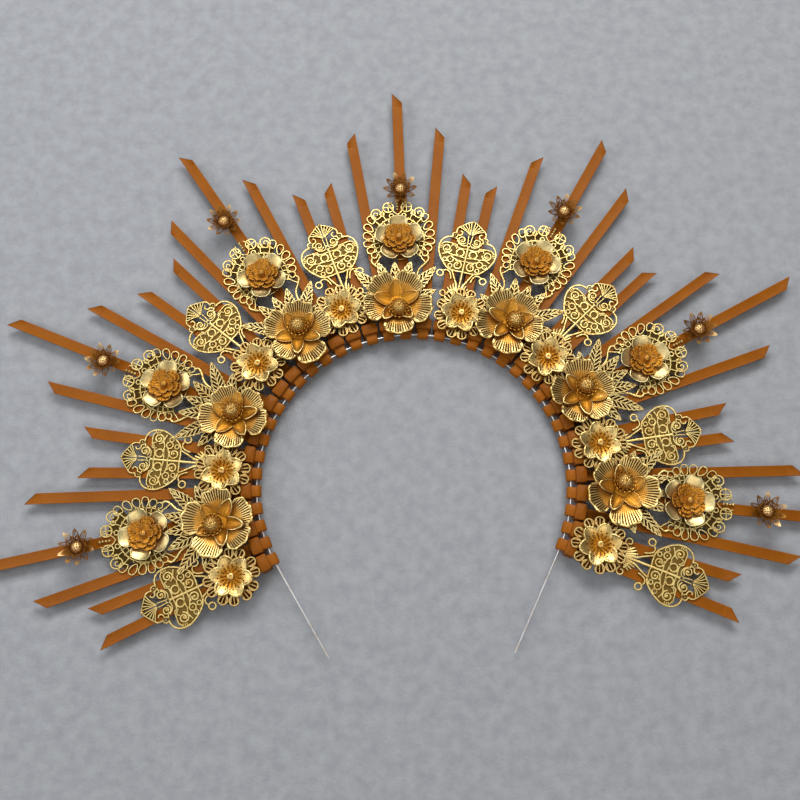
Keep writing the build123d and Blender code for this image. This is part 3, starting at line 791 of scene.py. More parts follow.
def collar(radius, low_z, high_z, lean, count, thick):
    """A ring of small upright loops: each loop is an arch whose feet stand on the ring."""
    width = 2 * np.pi * radius / count * 0.48
    angle = np.linspace(0, np.pi, 7)
    rise = np.sin(angle)
    arch = grid(width * np.cos(angle), radius + lean * rise, low_z + (high_z - low_z) * rise)
    return around(rod(arch, thick, sides=4, tone=0.3), count)


BOWL_TOP = BLOSSOM_Z + 3.9
bowl_radii = [2.4, 3.6, 4.2, 4.4, 4.25, 4.0, 3.4, 2.2]
bowl_heights = BLOSSOM_Z + np.array([1.4, 1.9, 3.1, 3.8, 3.9, 3.7, 3.4, 3.0])
bowl = spun(bowl_radii, bowl_heights, 28, 0.7)
outer_lace = collar(3.5, BOWL_TOP - 0.6, BOWL_TOP + 0.3, 1.2, 16, 0.22)
inner_lace = collar(3.2, BOWL_TOP - 0.3, BOWL_TOP + 0.9, 0.5, 14, 0.2)
COLLAR = join([bowl, outer_lace, inner_lace])
print("one pointed petal:", len(STANDING_CUP.faces), "faces; dome:", len(DOME.faces))

# %% [markdown]
# ## The sprig of leaves
# Behind each blossom lies a spray of nine pressed leaves. A leaf has a pointed outline, a midrib and
# slanting veins, all raised and pale, over a thin dark sheet that is painted shade, for the shadow in
# the slots between them. The outline's half width at s along the leaf is w sin(pi s^0.9)^0.8 / 2, with
# a small lobe at the end of each vein.

# %% One slotted leaf
LEAF_Z = UPPER_Z + 0.42
VEIN_PITCH = 2.7


def leaf_half_width(s, width, lobes=0):
    """The formula above; the lobes are a ripple of one sixteenth of the width."""
    plain = 0.5 * width * np.sin(np.pi * np.clip(s, 0, 1) ** 0.9) ** 0.8
    return plain * (1 + 0.12 * np.cos(2 * np.pi * lobes * (s - 0.25)) * (lobes > 0))


def slotted_leaf(start, reach, width):
    """Outline, midrib and slanting veins along +y, from start to reach."""
    length = reach - start
    count = int(length / VEIN_PITCH)
    s = np.linspace(0.02, 0.98, 31)
    right = np.column_stack([leaf_half_width(s, width, count * 1.3), start + length * s])
    left = right[::-1] * (-1, 1)
    outline = np.concatenate([right, [[0.0, reach]], left, [[0.0, start]]])
    midrib = [[0, start], [0, start + length / 2], [0, reach]]
    share = np.linspace(0.04, 0.96, 9)[:, None]
    across = leaf_half_width(share, width) * np.linspace(-0.96, 0.96, 4)
    parts = [
        flat_rod(outline, LEAF_Z, 0.33, 0.4, closed=True, tone=-0.1, patina=0.5),
        flat_rod(midrib, LEAF_Z + 0.12, 0.34, 0.36),
        # The dark sheet under the veins is painted shade.
        sheet(grid(across, start + length * share, LEAF_Z - 0.2), 0.2, 1.0),
    ]
    for s_root in np.linspace(0.16, 0.78, count):
        s_tip = min(s_root + 0.13, 0.93)
        foot = np.array([0.0, start + length * s_root])
        tip = np.array([leaf_half_width(s_tip, width), start + length * s_tip])
        for way in (1, -1):
            vein = [foot, tip * (way, 1)]
            parts.append(flat_rod(vein, LEAF_Z + 0.03, 0.3, 0.34, sides=4, tone=-0.1, patina=0.4))
    return join(parts)


Leaf = namedtuple("Leaf", "angle reach width")
LEAVES = (
    Leaf(0, 20.8, 5.0),
    Leaf(20, 22.0, 5.2),
    Leaf(47, 25.4, 5.4),
    Leaf(71, 19.0, 4.6),
    Leaf(97, 16.6, 5.2),
)
spray = []
for leaf in LEAVES:
    shape = slotted_leaf(3.0, leaf.reach, leaf.width)
    spray.append(moved(shape, turn=leaf.angle))
    if leaf.angle:
        spray.append(moved(shape, turn=-leaf.angle))
SPRIG = join(spray)
STEM = spun([2.4, 2.4, 3.8, 3.8], [PLATE_Z, UPPER_Z + 0.4, UPPER_Z + 0.9, BLOSSOM_Z + 1.4], 20, 0.5)
print("sprig:", len(SPRIG.faces), "faces")

# %% Place the blossoms
# For each blossom, its five petals: the clockwise angle from outwards, and the reach from the middle.
PETAL_SPOTS = (
    ((-135, 14.2), (-57, 15.5), (17, 16.0), (90, 14.3), (164, 14.4)),
    ((-103, 14.6), (-30, 15.4), (39, 13.6), (116, 13.8), (173, 14.4)),
    ((-179, 15.7), (-110, 13.9), (-37, 15.3), (35, 14.3), (104, 14.7)),
    ((-102, 15.0), (-39, 14.9), (34, 14.8), (109, 16.0), (178, 15.3)),
    ((-128, 15.4), (-54, 14.7), (15, 14.1), (83, 14.8), (159, 15.6)),
    ((-146, 14.2), (-69, 15.2), (6, 13.6), (73, 13.8), (144, 13.8)),
    ((-136, 14.1), (-64, 14.7), (4, 15.8), (83, 16.0), (157, 15.1)),
)


def fan_ring(spots):
    """The five fan petals, each drawn out level to its own reach and turned to its angle."""
    petals = []
    for angle, reach in spots:
        scale = (reach / FAN_REACH, reach / FAN_REACH, 1.0)
        petals.append(moved(FAN._replace(points=FAN.points * scale), turn=-angle))
    return join(petals)


def cup_ring(turn):
    """Five cups half-way between even fan petals. Those that point to the crown's outside are pressed
    down by hand on the real flowers, the others stand. The standing cups' folds are painted paler than
    the pressed cups' folds, which is painted light."""
    angles = [(36 + 72 * i + turn + 180) % 360 - 180 for i in range(PETALS)]
    return join([moved(PRESSED_CUP if abs(a) < 85 else STANDING_CUP, turn=-a) for a in angles])


for k, (bloom, spots) in enumerate(zip(BLOOMS, PETAL_SPOTS), start=1):
    middle = moved(join([DOME, COLLAR]), bloom.bead_side, bloom.bead_out)
    sprig = moved(SPRIG, y=bloom.sprig_out)
    flower = join([sprig, STEM, fan_ring(spots), cup_ring(bloom.turn), middle])
    shape = on_ray(flower, long_tie(k), bloom.out, bloom.side)
    make_piece(f"stamped_blossom_{k}", shape, FLOWER_GOLD, f"blossom_{k}")
print("a blossom:", made["stamped_blossom_1"], "triangles")

# %% [markdown]
# ## The teardrop plate
# Further out on each long ray lies a flat plate of open wirework: small petal-shaped loops round the
# edge, medallions and curls towards the ray's tip, and two bare hollow curves down to the blossom. It is
# drawn with rods 0.84 mm high, which is about the CAD plate's thickness.

# %% Loops, rings and curls
LINE_Z = PLATE_Z + 0.45
LINE_W = 0.34
LINE_H = 0.42
# The height of the thin dark sheets that paint shade under the wirework.
SHADOW_SHEET_Z = PLATE_Z + 0.25


def beaded(path, half_w, z=LINE_Z, half_h=LINE_H, **rest):
    """A rod whose width swells and thins by 16 % from one point to the next, like beaded wire."""
    swell = 1 + 0.16 * (-1.0) ** np.arange(len(path))
    return flat_rod(path, z, half_w * swell, half_h, **rest)


def line(corners, half_w=LINE_W, count=9, tone=0.0, **rest):
    """A smooth filigree line through the corners."""
    return beaded(smooth_path(corners, count), half_w, tone=tone, **rest)


def ring(x, y, r, half_w=LINE_W, count=14, squash=1.0, **rest):
    """A closed ring of filigree line."""
    return beaded(arc(x, y, r, count=count, squash=squash), half_w, closed=True, **rest)


def curl(x, y, r, r_end, start, stop, half_w=LINE_W, count=18):
    """A spiral that winds from r to r_end between two angles."""
    return beaded(arc(x, y, r, start, stop, count, r_end), half_w)


def petal_loop(angle, middle, length, width, slant):
    """A loop like a drop: across = w/2 sin(a) (1 - 0.3 cos a), along = -l/2 cos(a), turned by its slant
    about its own middle and then to its angle, which is clockwise from outwards."""
    a = np.linspace(0, 2 * np.pi, 16, endpoint=False)
    across = width / 2 * np.sin(a) * (1 - 0.3 * np.cos(a))
    path = np.column_stack([across, -length / 2 * np.cos(a)])
    loop = flat_rod(path, LINE_Z, LINE_W, LINE_H, closed=True)
    return moved(moved(moved(loop, turn=slant), 0, middle), turn=-angle)


def grain(x, y, r):
    """A small bead of solder."""
    return ball(r, x, y, LINE_Z + 0.1)


EDGE_LOOPS = (
    (49, 16.4, 4.2, 3.2, 26),
    (64, 15.2, 5.0, 3.0, 16),
    (79, 14.4, 4.6, 3.2, 8),
    (94, 14.0, 4.8, 2.9, -4),
    (108, 13.6, 4.0, 3.0, -14),
    (120, 13.2, 3.4, 2.6, -26),
)
plate_side = [petal_loop(*row) for row in EDGE_LOOPS]
plate_side += [grain(*12.3 * heading(angle), 0.55) for angle in (60, 74, 89, 105, 121)]
plate_side += [
    ring(4.2, 16.6, 2.45, 0.42),
    line([(4.2, 14.4), (4.2, 16.6), (4.2, 18.8)], count=3),
    line([(2.0, 16.6), (4.2, 16.6), (6.4, 16.6)], count=3),
    ring(10.0, 13.4, 2.55, 0.42, squash=0.92),
    curl(10.0, 13.2, 1.5, 0.5, -90, 230),
    ring(7.2, 13.4, 1.0, 0.36, 10),
    ring(2.9, 12.4, 1.0, 0.36, 10),
    line([(5.5, 10.4), (6.6, 12.4), (6.9, 15.2)], 0.3, 5),
    line([(8.6, 8.2), (10.4, 10.0), (10.3, 11.4)], 0.3, 5),
    line([(0.0, 13.0), (1.6, 14.2), (3.4, 17.6), (2.2, 19.6)], 0.32, 8),
    line([(12.6, -8.0), (13.1, -9.8), (11.3, -12), (9.0, -13.9), (7.7, -16.2), (7.2, -18.5)], 0.52, 16),
    line([(9.2, -7.6), (10.2, -9.6), (11.6, -11.6)], 0.36, 5),
    line([(0.0, -18.6), (3.8, -18.6), (7.2, -18.4)], 0.45, 5),
]
spokes = [line([3.5 * way, 12.2 * way], count=2) for way in map(heading, range(12, 141, 12))]
hoop = flat_rod(arc(0, 0, 11.6, -42, 222, 60), LINE_Z, 0.36, LINE_H)
inner_hoop = ring(0, 0, 9.4, 0.3, 40)
# Painted shade: thin dark sheets under the wirework, a broad ring round the hub and one at each upper
# corner, for the shadow seen through the openings.
shadow_sheet = flat_sheet([3.8, 8.0, 12.4], np.linspace(128, -128, 49), SHADOW_SHEET_Z, 0.9, 0.22)
corner_shadow_sheet = flat_sheet([12.4, 14.4, 16.4], np.linspace(10, 54, 12), SHADOW_SHEET_Z, 0.96)
DISC_HEIGHTS = PLATE_Z + np.array([0, 0.1, 0.8, 0.9])
hub = spun([4.0, 4.2, 4.2, 4.0], DISC_HEIGHTS, 24, 0.3)
beads = [ball(r, 0, y, LINE_Z + 0.15) for y, r in ((15.6, 0.7), (17.1, 0.7), (18.5, 0.6), (19.8, 0.7))]
sides = both_sides(plate_side + spokes + [corner_shadow_sheet])
TEARDROP = join([sides, hoop, inner_hoop, shadow_sheet, hub] + beads)
print("teardrop plate:", len(TEARDROP.faces), "faces")

# %% [markdown]
# ## The rose on the plate
# The rose has five broad pale petals, polished smooth, and on them a dome of soft amber: three layers
# of small crinkled petals round a bead. Each layer is one petal's map with its own numbers.

# %% Rose petals
Petal = namedtuple("Petal", "reach spread ball_r base curl ruffle root_tone rim_tone rim_w")


def rose_petal(s, t, p, lift=0.0):
    """Radius = 1.2 + (rim - 1.2) s, with rim = reach (1 - 0.2 t^4) + half the ruffle. Angle = t spread
    (0.75 + 0.25 sin(pi s)). The height is a ball's, plus curl s^3 at the rim, a rise at the sides and a
    ruffle cos(4.5 pi t) s^1.5."""
    ruffle = p.ruffle * np.cos(4.5 * np.pi * t)
    rim = p.reach * (1 - 0.2 * t**4) + 0.5 * ruffle
    radius = 1.2 + (rim - 1.2) * s
    angle = np.radians(t * p.spread * (0.75 + 0.25 * np.sin(np.pi * s)))
    height = p.base + dish(p.ball_r, radius) + p.curl * s**3 + 0.5 * t**2 * s + ruffle * s**1.5 + lift
    return grid(radius * np.sin(angle), radius * np.cos(angle), height)


def rose_layer(p):
    """One petal: a sheet, and a thin rod that rounds its rim."""
    s = np.linspace(0.05, 1, 9)[:, None]
    tone = p.root_tone + (p.rim_tone - p.root_tone) * s**3
    body = sheet(rose_petal(s, np.linspace(-1, 1, 25), p), 0.3, tone)
    edge = rod(rose_petal(*rim_line(0.5, 5, 25), p, -0.1), p.rim_w, 0.18, tone=p.rim_tone, patina=0.1)
    return join([body, edge])


pale_petal = rose_layer(Petal(10.9, 37, 30.0, UPPER_Z + 0.7, 0.5, 0.0, 0.22, 0.0, 0.24))
amber_petal = rose_layer(Petal(7.2, 41, 19.0, UPPER_Z + 1.9, 0.1, 0.2, 0.72, 0.42, 0.13))
inner_petal = rose_layer(Petal(5.9, 34, 12.0, UPPER_Z + 2.7, -0.2, 0.2, 0.74, 0.40, 0.13))
core_petal = rose_layer(Petal(4.1, 38, 7.5, UPPER_Z + 3.4, -0.3, 0.18, 0.7, 0.36, 0.13))
rose_bead = moved(pierced_dome(1.8, [(70, 4), (35, 8), (5, 10)], 9.0, 30, 10, pale=0.3), z=UPPER_Z + 4.5)
pedestal = spun([2.0, 2.2, 2.0], [UPPER_Z, UPPER_Z + 1.5, UPPER_Z + 3.8], 14, 0.6)
amber_dome = [around(amber_petal, 5, 36), around(inner_petal, 6, 12), around(core_petal, 5, 30)]
ROSE = join([around(pale_petal, 5), rose_bead, pedestal] + amber_dome)
for k, motif in enumerate(MOTIFS, start=1):
    plate = on_ray(TEARDROP, long_tie(k), motif.rose_out, motif.rose_side)
    make_piece(f"filigree_teardrop_{k}", plate, FILIGREE_GOLD, f"teardrop_{k}")
    rose = on_ray(ROSE, long_tie(k), motif.rose_out, motif.rose_side)
    make_piece(f"amber_rose_{k}", rose, ROSE_GOLD, f"rose_{k}")
print("rose:", made["amber_rose_1"], "teardrop:", made["filigree_teardrop_1"], "triangles")

# %% [markdown]
# ## The bronze star
# Near each long ray's tip sits a dark star flower. Its petals are loops of wire with fine lines inside:
# ten rise at thirty degrees and ten shorter ones stand steeper, round a pierced golden bead. Each petal's
# tip is painted paler as a highlight, a painted glint, strongest on every second long petal.

# %% Star petals
STAR_RISE = np.radians(30.0)
UPPER_RISE = np.radians(52.0)


def star_petal(length, rise, base, glint_strength):
    """A pointed loop, half width 1.15 sin(pi s^1.1)^0.8, with two lines inside, tilted up from its foot.
    The tone falls by the glint strength times s^2 towards the tip: a painted highlight, a glint at the
    tip."""
    s = np.linspace(0.0, 1.0, 11)
    half = 1.15 * np.sin(np.pi * np.clip(s, 0.03, 0.99) ** 1.1) ** 0.8
    right = np.column_stack([half, length * s])
    outline = np.concatenate([right, right[::-1][1:-1] * (-1, 1)])
    lines = [flat_rod(outline, 0.0, 0.3, 0.26, sides=4, closed=True, patina=0.5)]
    for x in (-0.4, 0.4):
        inner = [(0.3 * x, 0.3), (x, length * 0.5), (0.3 * x, length - 0.5)]
        lines.append(flat_rod(inner, 0.0, 0.17, 0.2, sides=4, tone=0.15))
    flat = join(lines)
    x, y, z = flat.points.T
    glint = glint_strength * np.clip(y / length, 0, 1) ** 2
    bent = grid(x, 1.3 + y * np.cos(rise), base + y * np.sin(rise) + z)
    return Shape(bent, flat.faces, 0.78 + 0.3 * flat.tone - glint)


star_foot = spun([2.4, 2.6, 2.2], [PLATE_Z, UPPER_Z + 0.5, UPPER_Z + 1.0], 16, 0.7)
star_dome = pierced_dome(2.7, [(72, 4), (48, 9), (24, 12), (4, 13)], 6.5, 40, 14, pale=0.05)
star_bead = moved(star_dome, z=UPPER_Z + 2.3)
# Painted highlights: the last number is the strength of the glint painted at each petal's tip.
bright_glint_star = around(star_petal(7.7, STAR_RISE, UPPER_Z + 0.5, 0.8), 5, 18)
dark_star = around(star_petal(7.3, STAR_RISE, UPPER_Z + 0.5, 0.3), 5, 54)
upper_star = around(star_petal(5.4, UPPER_RISE, UPPER_Z + 0.9, 0.35), 10)
STAR = join([bright_glint_star, dark_star, upper_star, star_foot, star_bead])
for k, motif in enumerate(MOTIFS, start=1):
    shape = on_ray(STAR, long_tie(k), motif.star_out, motif.star_side)
    make_piece(f"bronze_star_{k}", shape, STAR_BRONZE, f"star_{k}")
print("star:", made["bronze_star_1"], "triangles")

# %% [markdown]
# ## The palmette
# Between the flower groups lie flat leaves of filigree, like cast lace. Each half is drawn once and
# mirrored: a feathered tip, scrolls round dark openings, a broad lobe with a spiral inside, rings beside
# the spine, two stems and a shell at the root. Under the dense parts lies a thin dark sheet that is
# painted shade, for the shadow in their openings, and the larger openings go right through. Here y runs
# outwards, so it is negative.

# %% Palmette half
def leaf_tip():
    """Half of the fluted tip: feather lines from the neck to points along its slanting edge, with a
    dark sheet below them that is painted shade."""
    edge = smooth_path([(0.0, -0.6), (1.5, -1.3), (3.0, -2.3), (4.5, -3.4), (5.9, -4.5)], 9)
    neck = np.array([0.25, -7.8])
    x, y = neck[:, None, None] + (edge - neck).T[:, None, :] * np.linspace(0.12, 0.99, 7)[:, None]
    parts = [flat_rod(edge, LINE_Z, 0.3, LINE_H), sheet(grid(x, y, SHADOW_SHEET_Z), 0.2, 0.95)]
    feather_w = [0.14, 0.2, 0.25, 0.3, 0.32, 0.28]
    for k in (1.2, 3.0, 4.8, 6.5, 8.0):
        end = edge[int(k)] + (edge[min(int(k) + 1, 8)] - edge[int(k)]) * (k % 1)
        bend = neck + (end - neck) * 0.5 + (-0.25 * k / 8, 0.35 * k / 8)
        parts.append(flat_rod(smooth_path([neck, bend, end], 6), LINE_Z, feather_w, LINE_H))
    return parts


def eyed_ring(x, y, r, half_w=0.42, eye=0.5):
    """A ring of line with a bead in its middle."""
    return [ring(x, y, r, half_w), grain(x, y, eye)]


tip_hook = [(5.9, -4.5), (6.7, -5.6), (6.7, -7.4), (5.6, -8.6), (4.3, -8.2), (4.0, -6.9), (5.0, -6.3)]
lobe_side = [(4.6, -10.9), (7.4, -10.0), (10.2, -10.4), (12.3, -12.2), (13.2, -15.0), (12.9, -18.0)]
palmette_half = leaf_tip() + [
    line(tip_hook, 0.42, 20),
    line([(0.9, -8.0), (0.75, -10.0), (0.55, -12.0)], 0.34, 5),
    curl(3.4, -10.6, 2.1, 0.7, -150, 330, 0.42, 26),
    grain(3.4, -10.6, 0.7),
    line([(0.7, -12.6), (2.0, -13.4), (4.2, -12.9), (5.6, -11.2)], 0.36, 9),
    *eyed_ring(7.1, -8.9, 1.2, 0.38, 0.45),
    ring(3.0, -17.0, 1.75, 0.5),
    line([(0.5, -14.8), (2.0, -14.9), (4.6, -14.7), (5.4, -13.2)], 0.36, 8),
    line([(0.5, -19.2), (2.6, -18.9), (5.0, -18.7)], 0.38, 5),
    line([(0.5, -20.9), (2.6, -21.1), (5.2, -20.4)], 0.38, 5),
    curl(3.1, -23.3, 2.2, 1.0, 60, 480, 0.46, 26),
    grain(3.1, -23.3, 0.8),
    curl(9.3, -16.0, 2.3, 0.8, -170, 330, 0.44, 30),
    grain(9.3, -16.0, 0.7),
    line([(5.0, -15.4), (5.8, -14.2), (7.2, -13.9), (7.6, -15.0)], 0.36, 7),
    line([(4.9, -18.4), (6.0, -18.9), (7.8, -18.3), (9.2, -18.4), (11.2, -19.4)], 0.38, 9),
    line([(5.6, -13.4), (8.0, -13.2), (10.6, -13.2), (12.2, -14.4)], 0.36, 9),
    *eyed_ring(6.8, -21.0, 1.45, 0.42),
    *eyed_ring(9.3, -21.6, 0.95, 0.34, 0.35),
    ring(6.3, -24.2, 0.95, 0.36, 10),
    line([(0.5, -26.0), (2.6, -26.2), (5.2, -26.0)], 0.42, 5),
    line(lobe_side, 0.48, 16),
    line([(12.9, -18.0), (11.3, -21.1), (9.3, -23.6), (7.3, -25.4), (5.0, -26.2)], 0.48, 12),
    line([(5.0, -26.0), (3.2, -29.6), (1.8, -32.4), (1.3, -36.0)], 0.46, 8),
    ring(9.9, -28.6, 1.5, 0.48, 12),
    line([(9.0, -27.4), (7.6, -26.6), (6.1, -26.9), (5.0, -28.6), (4.5, -30.4)], 0.42, 10),
    curl(6.6, -37.6, 1.9, 0.8, 200, 560, 0.4, 18),
    line([(4.5, -38.6), (3.2, -42.0), (1.6, -46.0)], 0.4, 7),
]
for angle in (62, 78, 94):
    spike = np.array([9.3, -16.0]) + np.outer((2.4, 3.9), heading(angle))
    palmette_half.append(flat_rod(spike, LINE_Z, 0.24, 0.34, sides=4))

# Two dark sheets of painted shade: a disc under the upper scroll, and a sheet under the lobe, from
# near the spine to the lobe's edge at each y.
lobe_y = np.array([-13.3, -14.5, -16.0, -18.0, -20.0, -22.0, -24.0, -25.9])[:, None]
lobe_edge = np.array([11.6, 12.5, 12.7, 12.3, 11.3, 9.9, 8.0, 5.2])[:, None]
lobe_x = 0.3 + (lobe_edge - 0.3) * np.linspace(0, 1, 8)
lobe_shadow_sheet = sheet(grid(lobe_x, lobe_y, SHADOW_SHEET_Z), 0.2, 0.84)
scroll_shadow_sheet = flat_sheet([0.04, 1.2, 2.0], np.linspace(90, -270, 21), SHADOW_SHEET_Z, 0.95, x=3.4, y=-10.6)
palmette_half += [scroll_shadow_sheet, lobe_shadow_sheet]
spine = flat_rod([(0, -13.4), (0, -20), (0, -27), (0, -36)], LINE_Z + 0.06, 0.58, 0.42)
neck_ring = ring(0, -12.6, 0.85, 0.36, 12)

# The shell: nine ribs from one point, longest in the middle, with an arc across them.
SHELL_Y = -40.8
shell_fan = []
for angle in range(-40, 41, 10):
    rib = np.outer((0.1, 0.55, 0.9, 1.0), (9.6 - 0.04 * abs(angle)) * heading(angle)) + (0, SHELL_Y)
    shell_fan.append(flat_rod(rib, LINE_Z, [0.25, 0.5, 0.5, 0.25], LINE_H * 0.95))
shell_arc = flat_rod(arc(0, SHELL_Y, 6.0, 40, 140, 12), LINE_Z, 0.6, 0.3)
root = spun([2.2, 2.4, 2.4, 2.2], DISC_HEIGHTS, 16, 0.2)
tip_bead = ball(0.8, 0, -0.8, LINE_Z)
parts = [both_sides(palmette_half), spine, neck_ring, tip_bead, shell_arc, moved(root, 0, -47.0)]
PALMETTE = join(parts + shell_fan)
print("palmette:", len(PALMETTE.faces), "faces")

# %% [markdown]
# ## The small flower at the palmette's root
# Six ribbed petals lie flat, six spoon-shaped cups stand above them, and a tuft of short stamens rings
# a hollow tube. Cups are sheets, loops and stamens are rods.

# %% Floret
FLORET_Z = 7.9
FLORET_DULLING = 0.06


def floret_fan():
    """One flat petal: two round lobes of raised line, each with three ribs fanned out across it, over
    a dark sheet that is painted shade."""
    z = FLORET_Z + 0.4
    parts = [ring(*10.0 * heading(angle), 2.0, 0.4, z=z, half_h=0.34) for angle in (-13.5, 13.5)]
    for way in map(heading, (-22, -14, -6, 6, 14, 22)):
        parts.append(line([way * 5.0, way * 8.0, way * 11.6], 0.3, 4, 0.05, z=z, half_h=0.3))
    shadow_sheet_tone = np.array([[0.6], [0.85], [0.95]])
    return join(parts + [flat_sheet([3.0, 7.0, 11.4], np.linspace(-22, 22, 7), z - 0.15, shadow_sheet_tone)])


def spoon(s, t, lift=0.0):
    """Half width 3.2 sin(pi (0.1 + 0.76 s))^0.7, rising like a ball of radius 16 with raised sides, a
    ruffle and a lip that rolls down by 0.6 s^6."""
    half = 3.2 * np.sin(np.pi * (0.1 + 0.76 * s)) ** 0.7
    x, y = t * half, 2.0 + 7.0 * s - 0.9 * t**2 * s
    height = FLORET_Z + 1.0 + dish(16.0, np.hypot(x, y)) - 0.6 * s**6
    return grid(x, y, height + 0.5 * t**2 * s + 0.16 * np.cos(5 * np.pi * t) * s**3 + lift)


spoon_s = np.linspace(0, 1, 8)[:, None]
spoon_t = np.linspace(-1, 1, 13)
spoon_tone = np.clip(0.5 - 0.8 * spoon_s**1.4, 0, 1) + 0.06 * np.cos(5 * np.pi * spoon_t)
spoon_body = sheet(spoon(spoon_s, spoon_t), 0.3, spoon_tone)
lip = rod(spoon(*rim_line(0.4, 6, 13), -0.05), 0.46, 0.28, tone=-0.05, patina=0.5)
# Painted shade: two dark balls near each cup's root stand for two small holes.
hole_shade_dots = [ball(0.36, *spoon(0.5, t, 0.05), 6, 4, tone=1.0) for t in (-0.4, 0.4)]
SPOON = join([spoon_body, lip] + hole_shade_dots)


def stamen(radius, turn, height, lean):
    """A short rod with a swollen tip, leaning outwards."""
    out = radius - lean * np.array([1.0, 0.3, 0.0])
    path = grid(0.0, out, FLORET_Z + 1.2 + height * np.array([0.0, 0.6, 1.0]))
    return moved(rod(path, [0.2, 0.22, 0.34], sides=5, tone=0.35), turn=turn)


stamens = [stamen(4.3, 24 * k, 1.5, 1.3) for k in range(15)]
stamens += [stamen(3.0, 36 * k + 10, 2.3, 0.9) for k in range(10)]
tube_heights = FLORET_Z + np.array([0.6, 1.0, 3.0, 3.3, 3.2, 2.9])
tube = spun([1.5, 1.6, 1.5, 1.2, 0.5, 0.4], tube_heights, 16, np.array([0.5, 0.4, 0.1, 0.0, 0.2, 0.4]))
floret_foot = spun([2.6, 3.0, 3.0], [UPPER_Z, FLORET_Z, FLORET_Z + 1.2], 18, 0.5)
floret_parts = [around(floret_fan(), 6), around(SPOON, 6, 30), tube, floret_foot]
FLORET = join(floret_parts + stamens)
FLORET = FLORET._replace(tone=FLORET.tone + FLORET_DULLING)
for k, gap in enumerate(GAPS, start=1):
    between = TIES_A_ROW * k - 3.5  # half-way between two short ties
    leaf = on_ray(PALMETTE, between, gap.palmette_out, gap.palmette_side, gap.palmette_turn)
    make_piece(f"filigree_palmette_{k}", leaf, FILIGREE_GOLD, f"palmette_{k}")
    flower = on_ray(FLORET, between, gap.floret_out, gap.floret_side)
    make_piece(f"gilt_floret_{k}", flower, FLOWER_GOLD, f"floret_{k}")
print("palmette:", made["filigree_palmette_1"], "floret:", made["gilt_floret_1"], "triangles")
print("all pieces:", len(made), "with", sum(made.values()), "triangles")

# %% [markdown]
# ## Floor, light and camera
# The crown lies on a plain pale floor. Gold shows what it reflects, so the light is a large soft panel
# from the top of the picture, weaker ones from the left and the front, two small ones high above the
# crown's sides, and a soft sky. As a studio hangs white cards round a shiny thing, the sky is brighter
# in the metal's reflections than on the floor, which keeps the shadows under the filigree deep. The
# camera stands above the crown's lower edge and looks down at fifteen degrees from upright.

# %% Floor
FLOOR_HALF = 1.6
FLOOR_Z = -0.0002
floor_mesh = bpy.data.meshes.new("pale_floor")
corners = FLOOR_HALF * np.array([(-1, -1), (1, -1), (1, 1), (-1, 1)])
floor_mesh.from_pydata(level(corners, FLOOR_Z), [], [(0, 1, 2, 3)])
floor = bpy.data.objects.new("pale_floor", floor_mesh)
bpy.context.scene.collection.objects.link(floor)
felt, tree, shader, place = new_finish("floor_felt")
greys = ((0.33, (0.295, 0.31, 0.34)), (0.67, (0.365, 0.38, 0.41)))
mottle = ramp(tree, noise(tree, place, 170.0, 6.0), greys)
tree.links.new(mottle, shader.inputs["Base Color"])
shader.inputs["Roughness"].default_value = 0.9
dented(tree, shader, noise(tree, place, 900.0), 0.0006, 0.5)
floor_mesh.materials.append(felt)


# %% Lights
def set_up(name, data, right, up, back, place):
    """A lamp or camera at a place, turned so that it looks against back."""
    thing = bpy.data.objects.new(name, data)
    bpy.context.scene.collection.objects.link(thing)
    axes = [[right[i], up[i], back[i], place[i]] for i in range(3)]
    thing.matrix_world = Matrix(axes + [[0, 0, 0, 1]])
    return thing


def panel(name, place, aim, size, power, colour):
    """A rectangular soft light at a place, turned to face the aim."""
    light = bpy.data.lights.new(name, "AREA")
    light.shape = "RECTANGLE"
    light.size, light.size_y = size
    light.energy = power
    light.color = colour
    back = np.array(place, float) - np.array(aim, float)
    back /= np.linalg.norm(back)
    right = np.cross((0.0, 1.0, 0.02), back)
    right /= np.linalg.norm(right)
    set_up(name, light, right, np.cross(back, right), back, place)


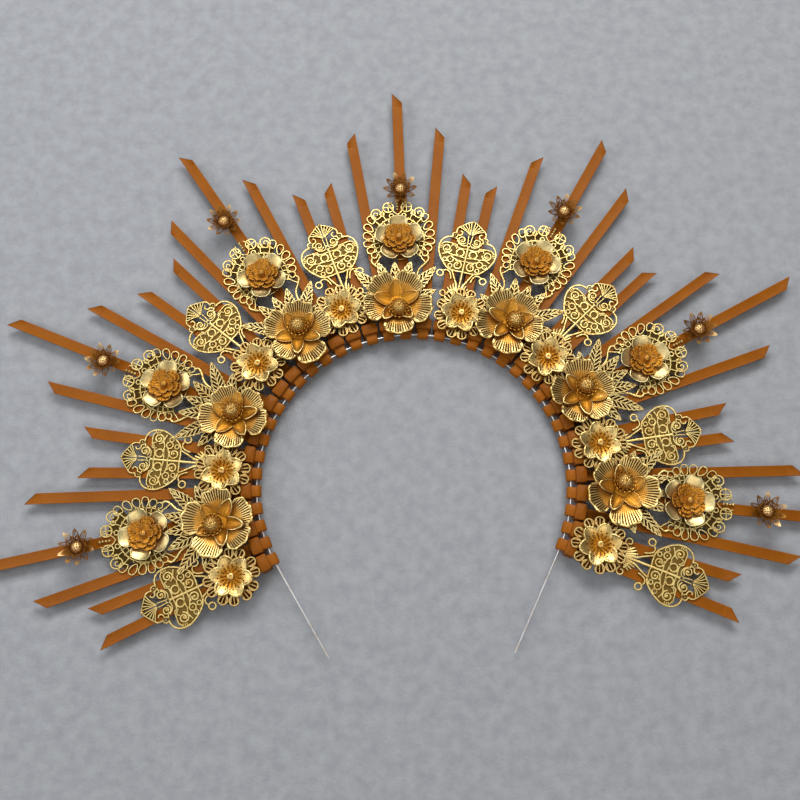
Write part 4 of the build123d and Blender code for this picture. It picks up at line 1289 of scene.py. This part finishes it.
CROWN_MIDDLE = (0, 0.08, 0)
WARM_WHITE = (1.0, 0.985, 0.96)
panel("top_panel", (0.10, 0.75, 0.85), CROWN_MIDDLE, (0.9, 0.4), 10.0, WARM_WHITE)
panel("left_panel", (-0.85, 0.1, 0.6), CROWN_MIDDLE, (0.5, 0.9), 4.0, (0.96, 0.98, 1.0))
panel("front_panel", (0.25, -0.6, 0.75), CROWN_MIDDLE, (0.9, 0.35), 2.2, (1.0, 0.98, 0.94))
for side in (-1, 1):
    place, aim = (0.42 * side, 0.13, 1.3), (0.11 * side, 0, 0)
    panel(f"high_panel_{side}", place, aim, (0.3, 0.5), 1.0, WARM_WHITE)
print("soft panels:", len(bpy.data.lights))

# %% Sky
SKY_FILL = 0.19
SKY_GLOSS = 0.57
SKY_STOPS = (
    (0.05, (0.08, 0.078, 0.075)),
    (0.5, (0.31, 0.305, 0.29)),
    (0.85, (0.67, 0.66, 0.64)),
    (1.0, (1.0, 0.99, 0.96)),
)
sky = bpy.data.worlds.new("dim_sky")
sky.use_nodes = True
tree = sky.node_tree
background = tree.nodes["Background"]
direction = tree.nodes.new("ShaderNodeTexCoord").outputs["Generated"]
way_up = add_node(tree, "SeparateXYZ", {}, Vector=direction).outputs["Z"]
tree.links.new(ramp(tree, way_up, SKY_STOPS), background.inputs["Color"])
glossy = tree.nodes.new("ShaderNodeLightPath").outputs["Is Glossy Ray"]
tree.links.new(spread(tree, glossy, SKY_FILL, SKY_GLOSS), background.inputs["Strength"])
bpy.context.scene.world = sky
bpy.context.scene.view_settings.view_transform = "Standard"

# %% Camera
# The lens is the photo's focal length in pixels, over its width in pixels, times the sensor's width.
FOCAL_PX = 1022.0
PHOTO_W_PX = 800.0
SENSOR_W = 36.0
right = np.array([0.99872, -0.05059, 0.0])
look = np.array([0.0131, 0.2577, -0.966])
look -= right * (look @ right)
look /= np.linalg.norm(look)
eye = (-0.00999, -0.0787, 0.4409)
camera_data = bpy.data.cameras.new("eye")
camera_data.sensor_width = SENSOR_W
camera_data.lens = FOCAL_PX / PHOTO_W_PX * SENSOR_W
camera_data.clip_start = 0.01
bpy.context.scene.camera = set_up("eye", camera_data, right, np.cross(right, look), -look, eye)
print("camera lens:", round(camera_data.lens, 2))
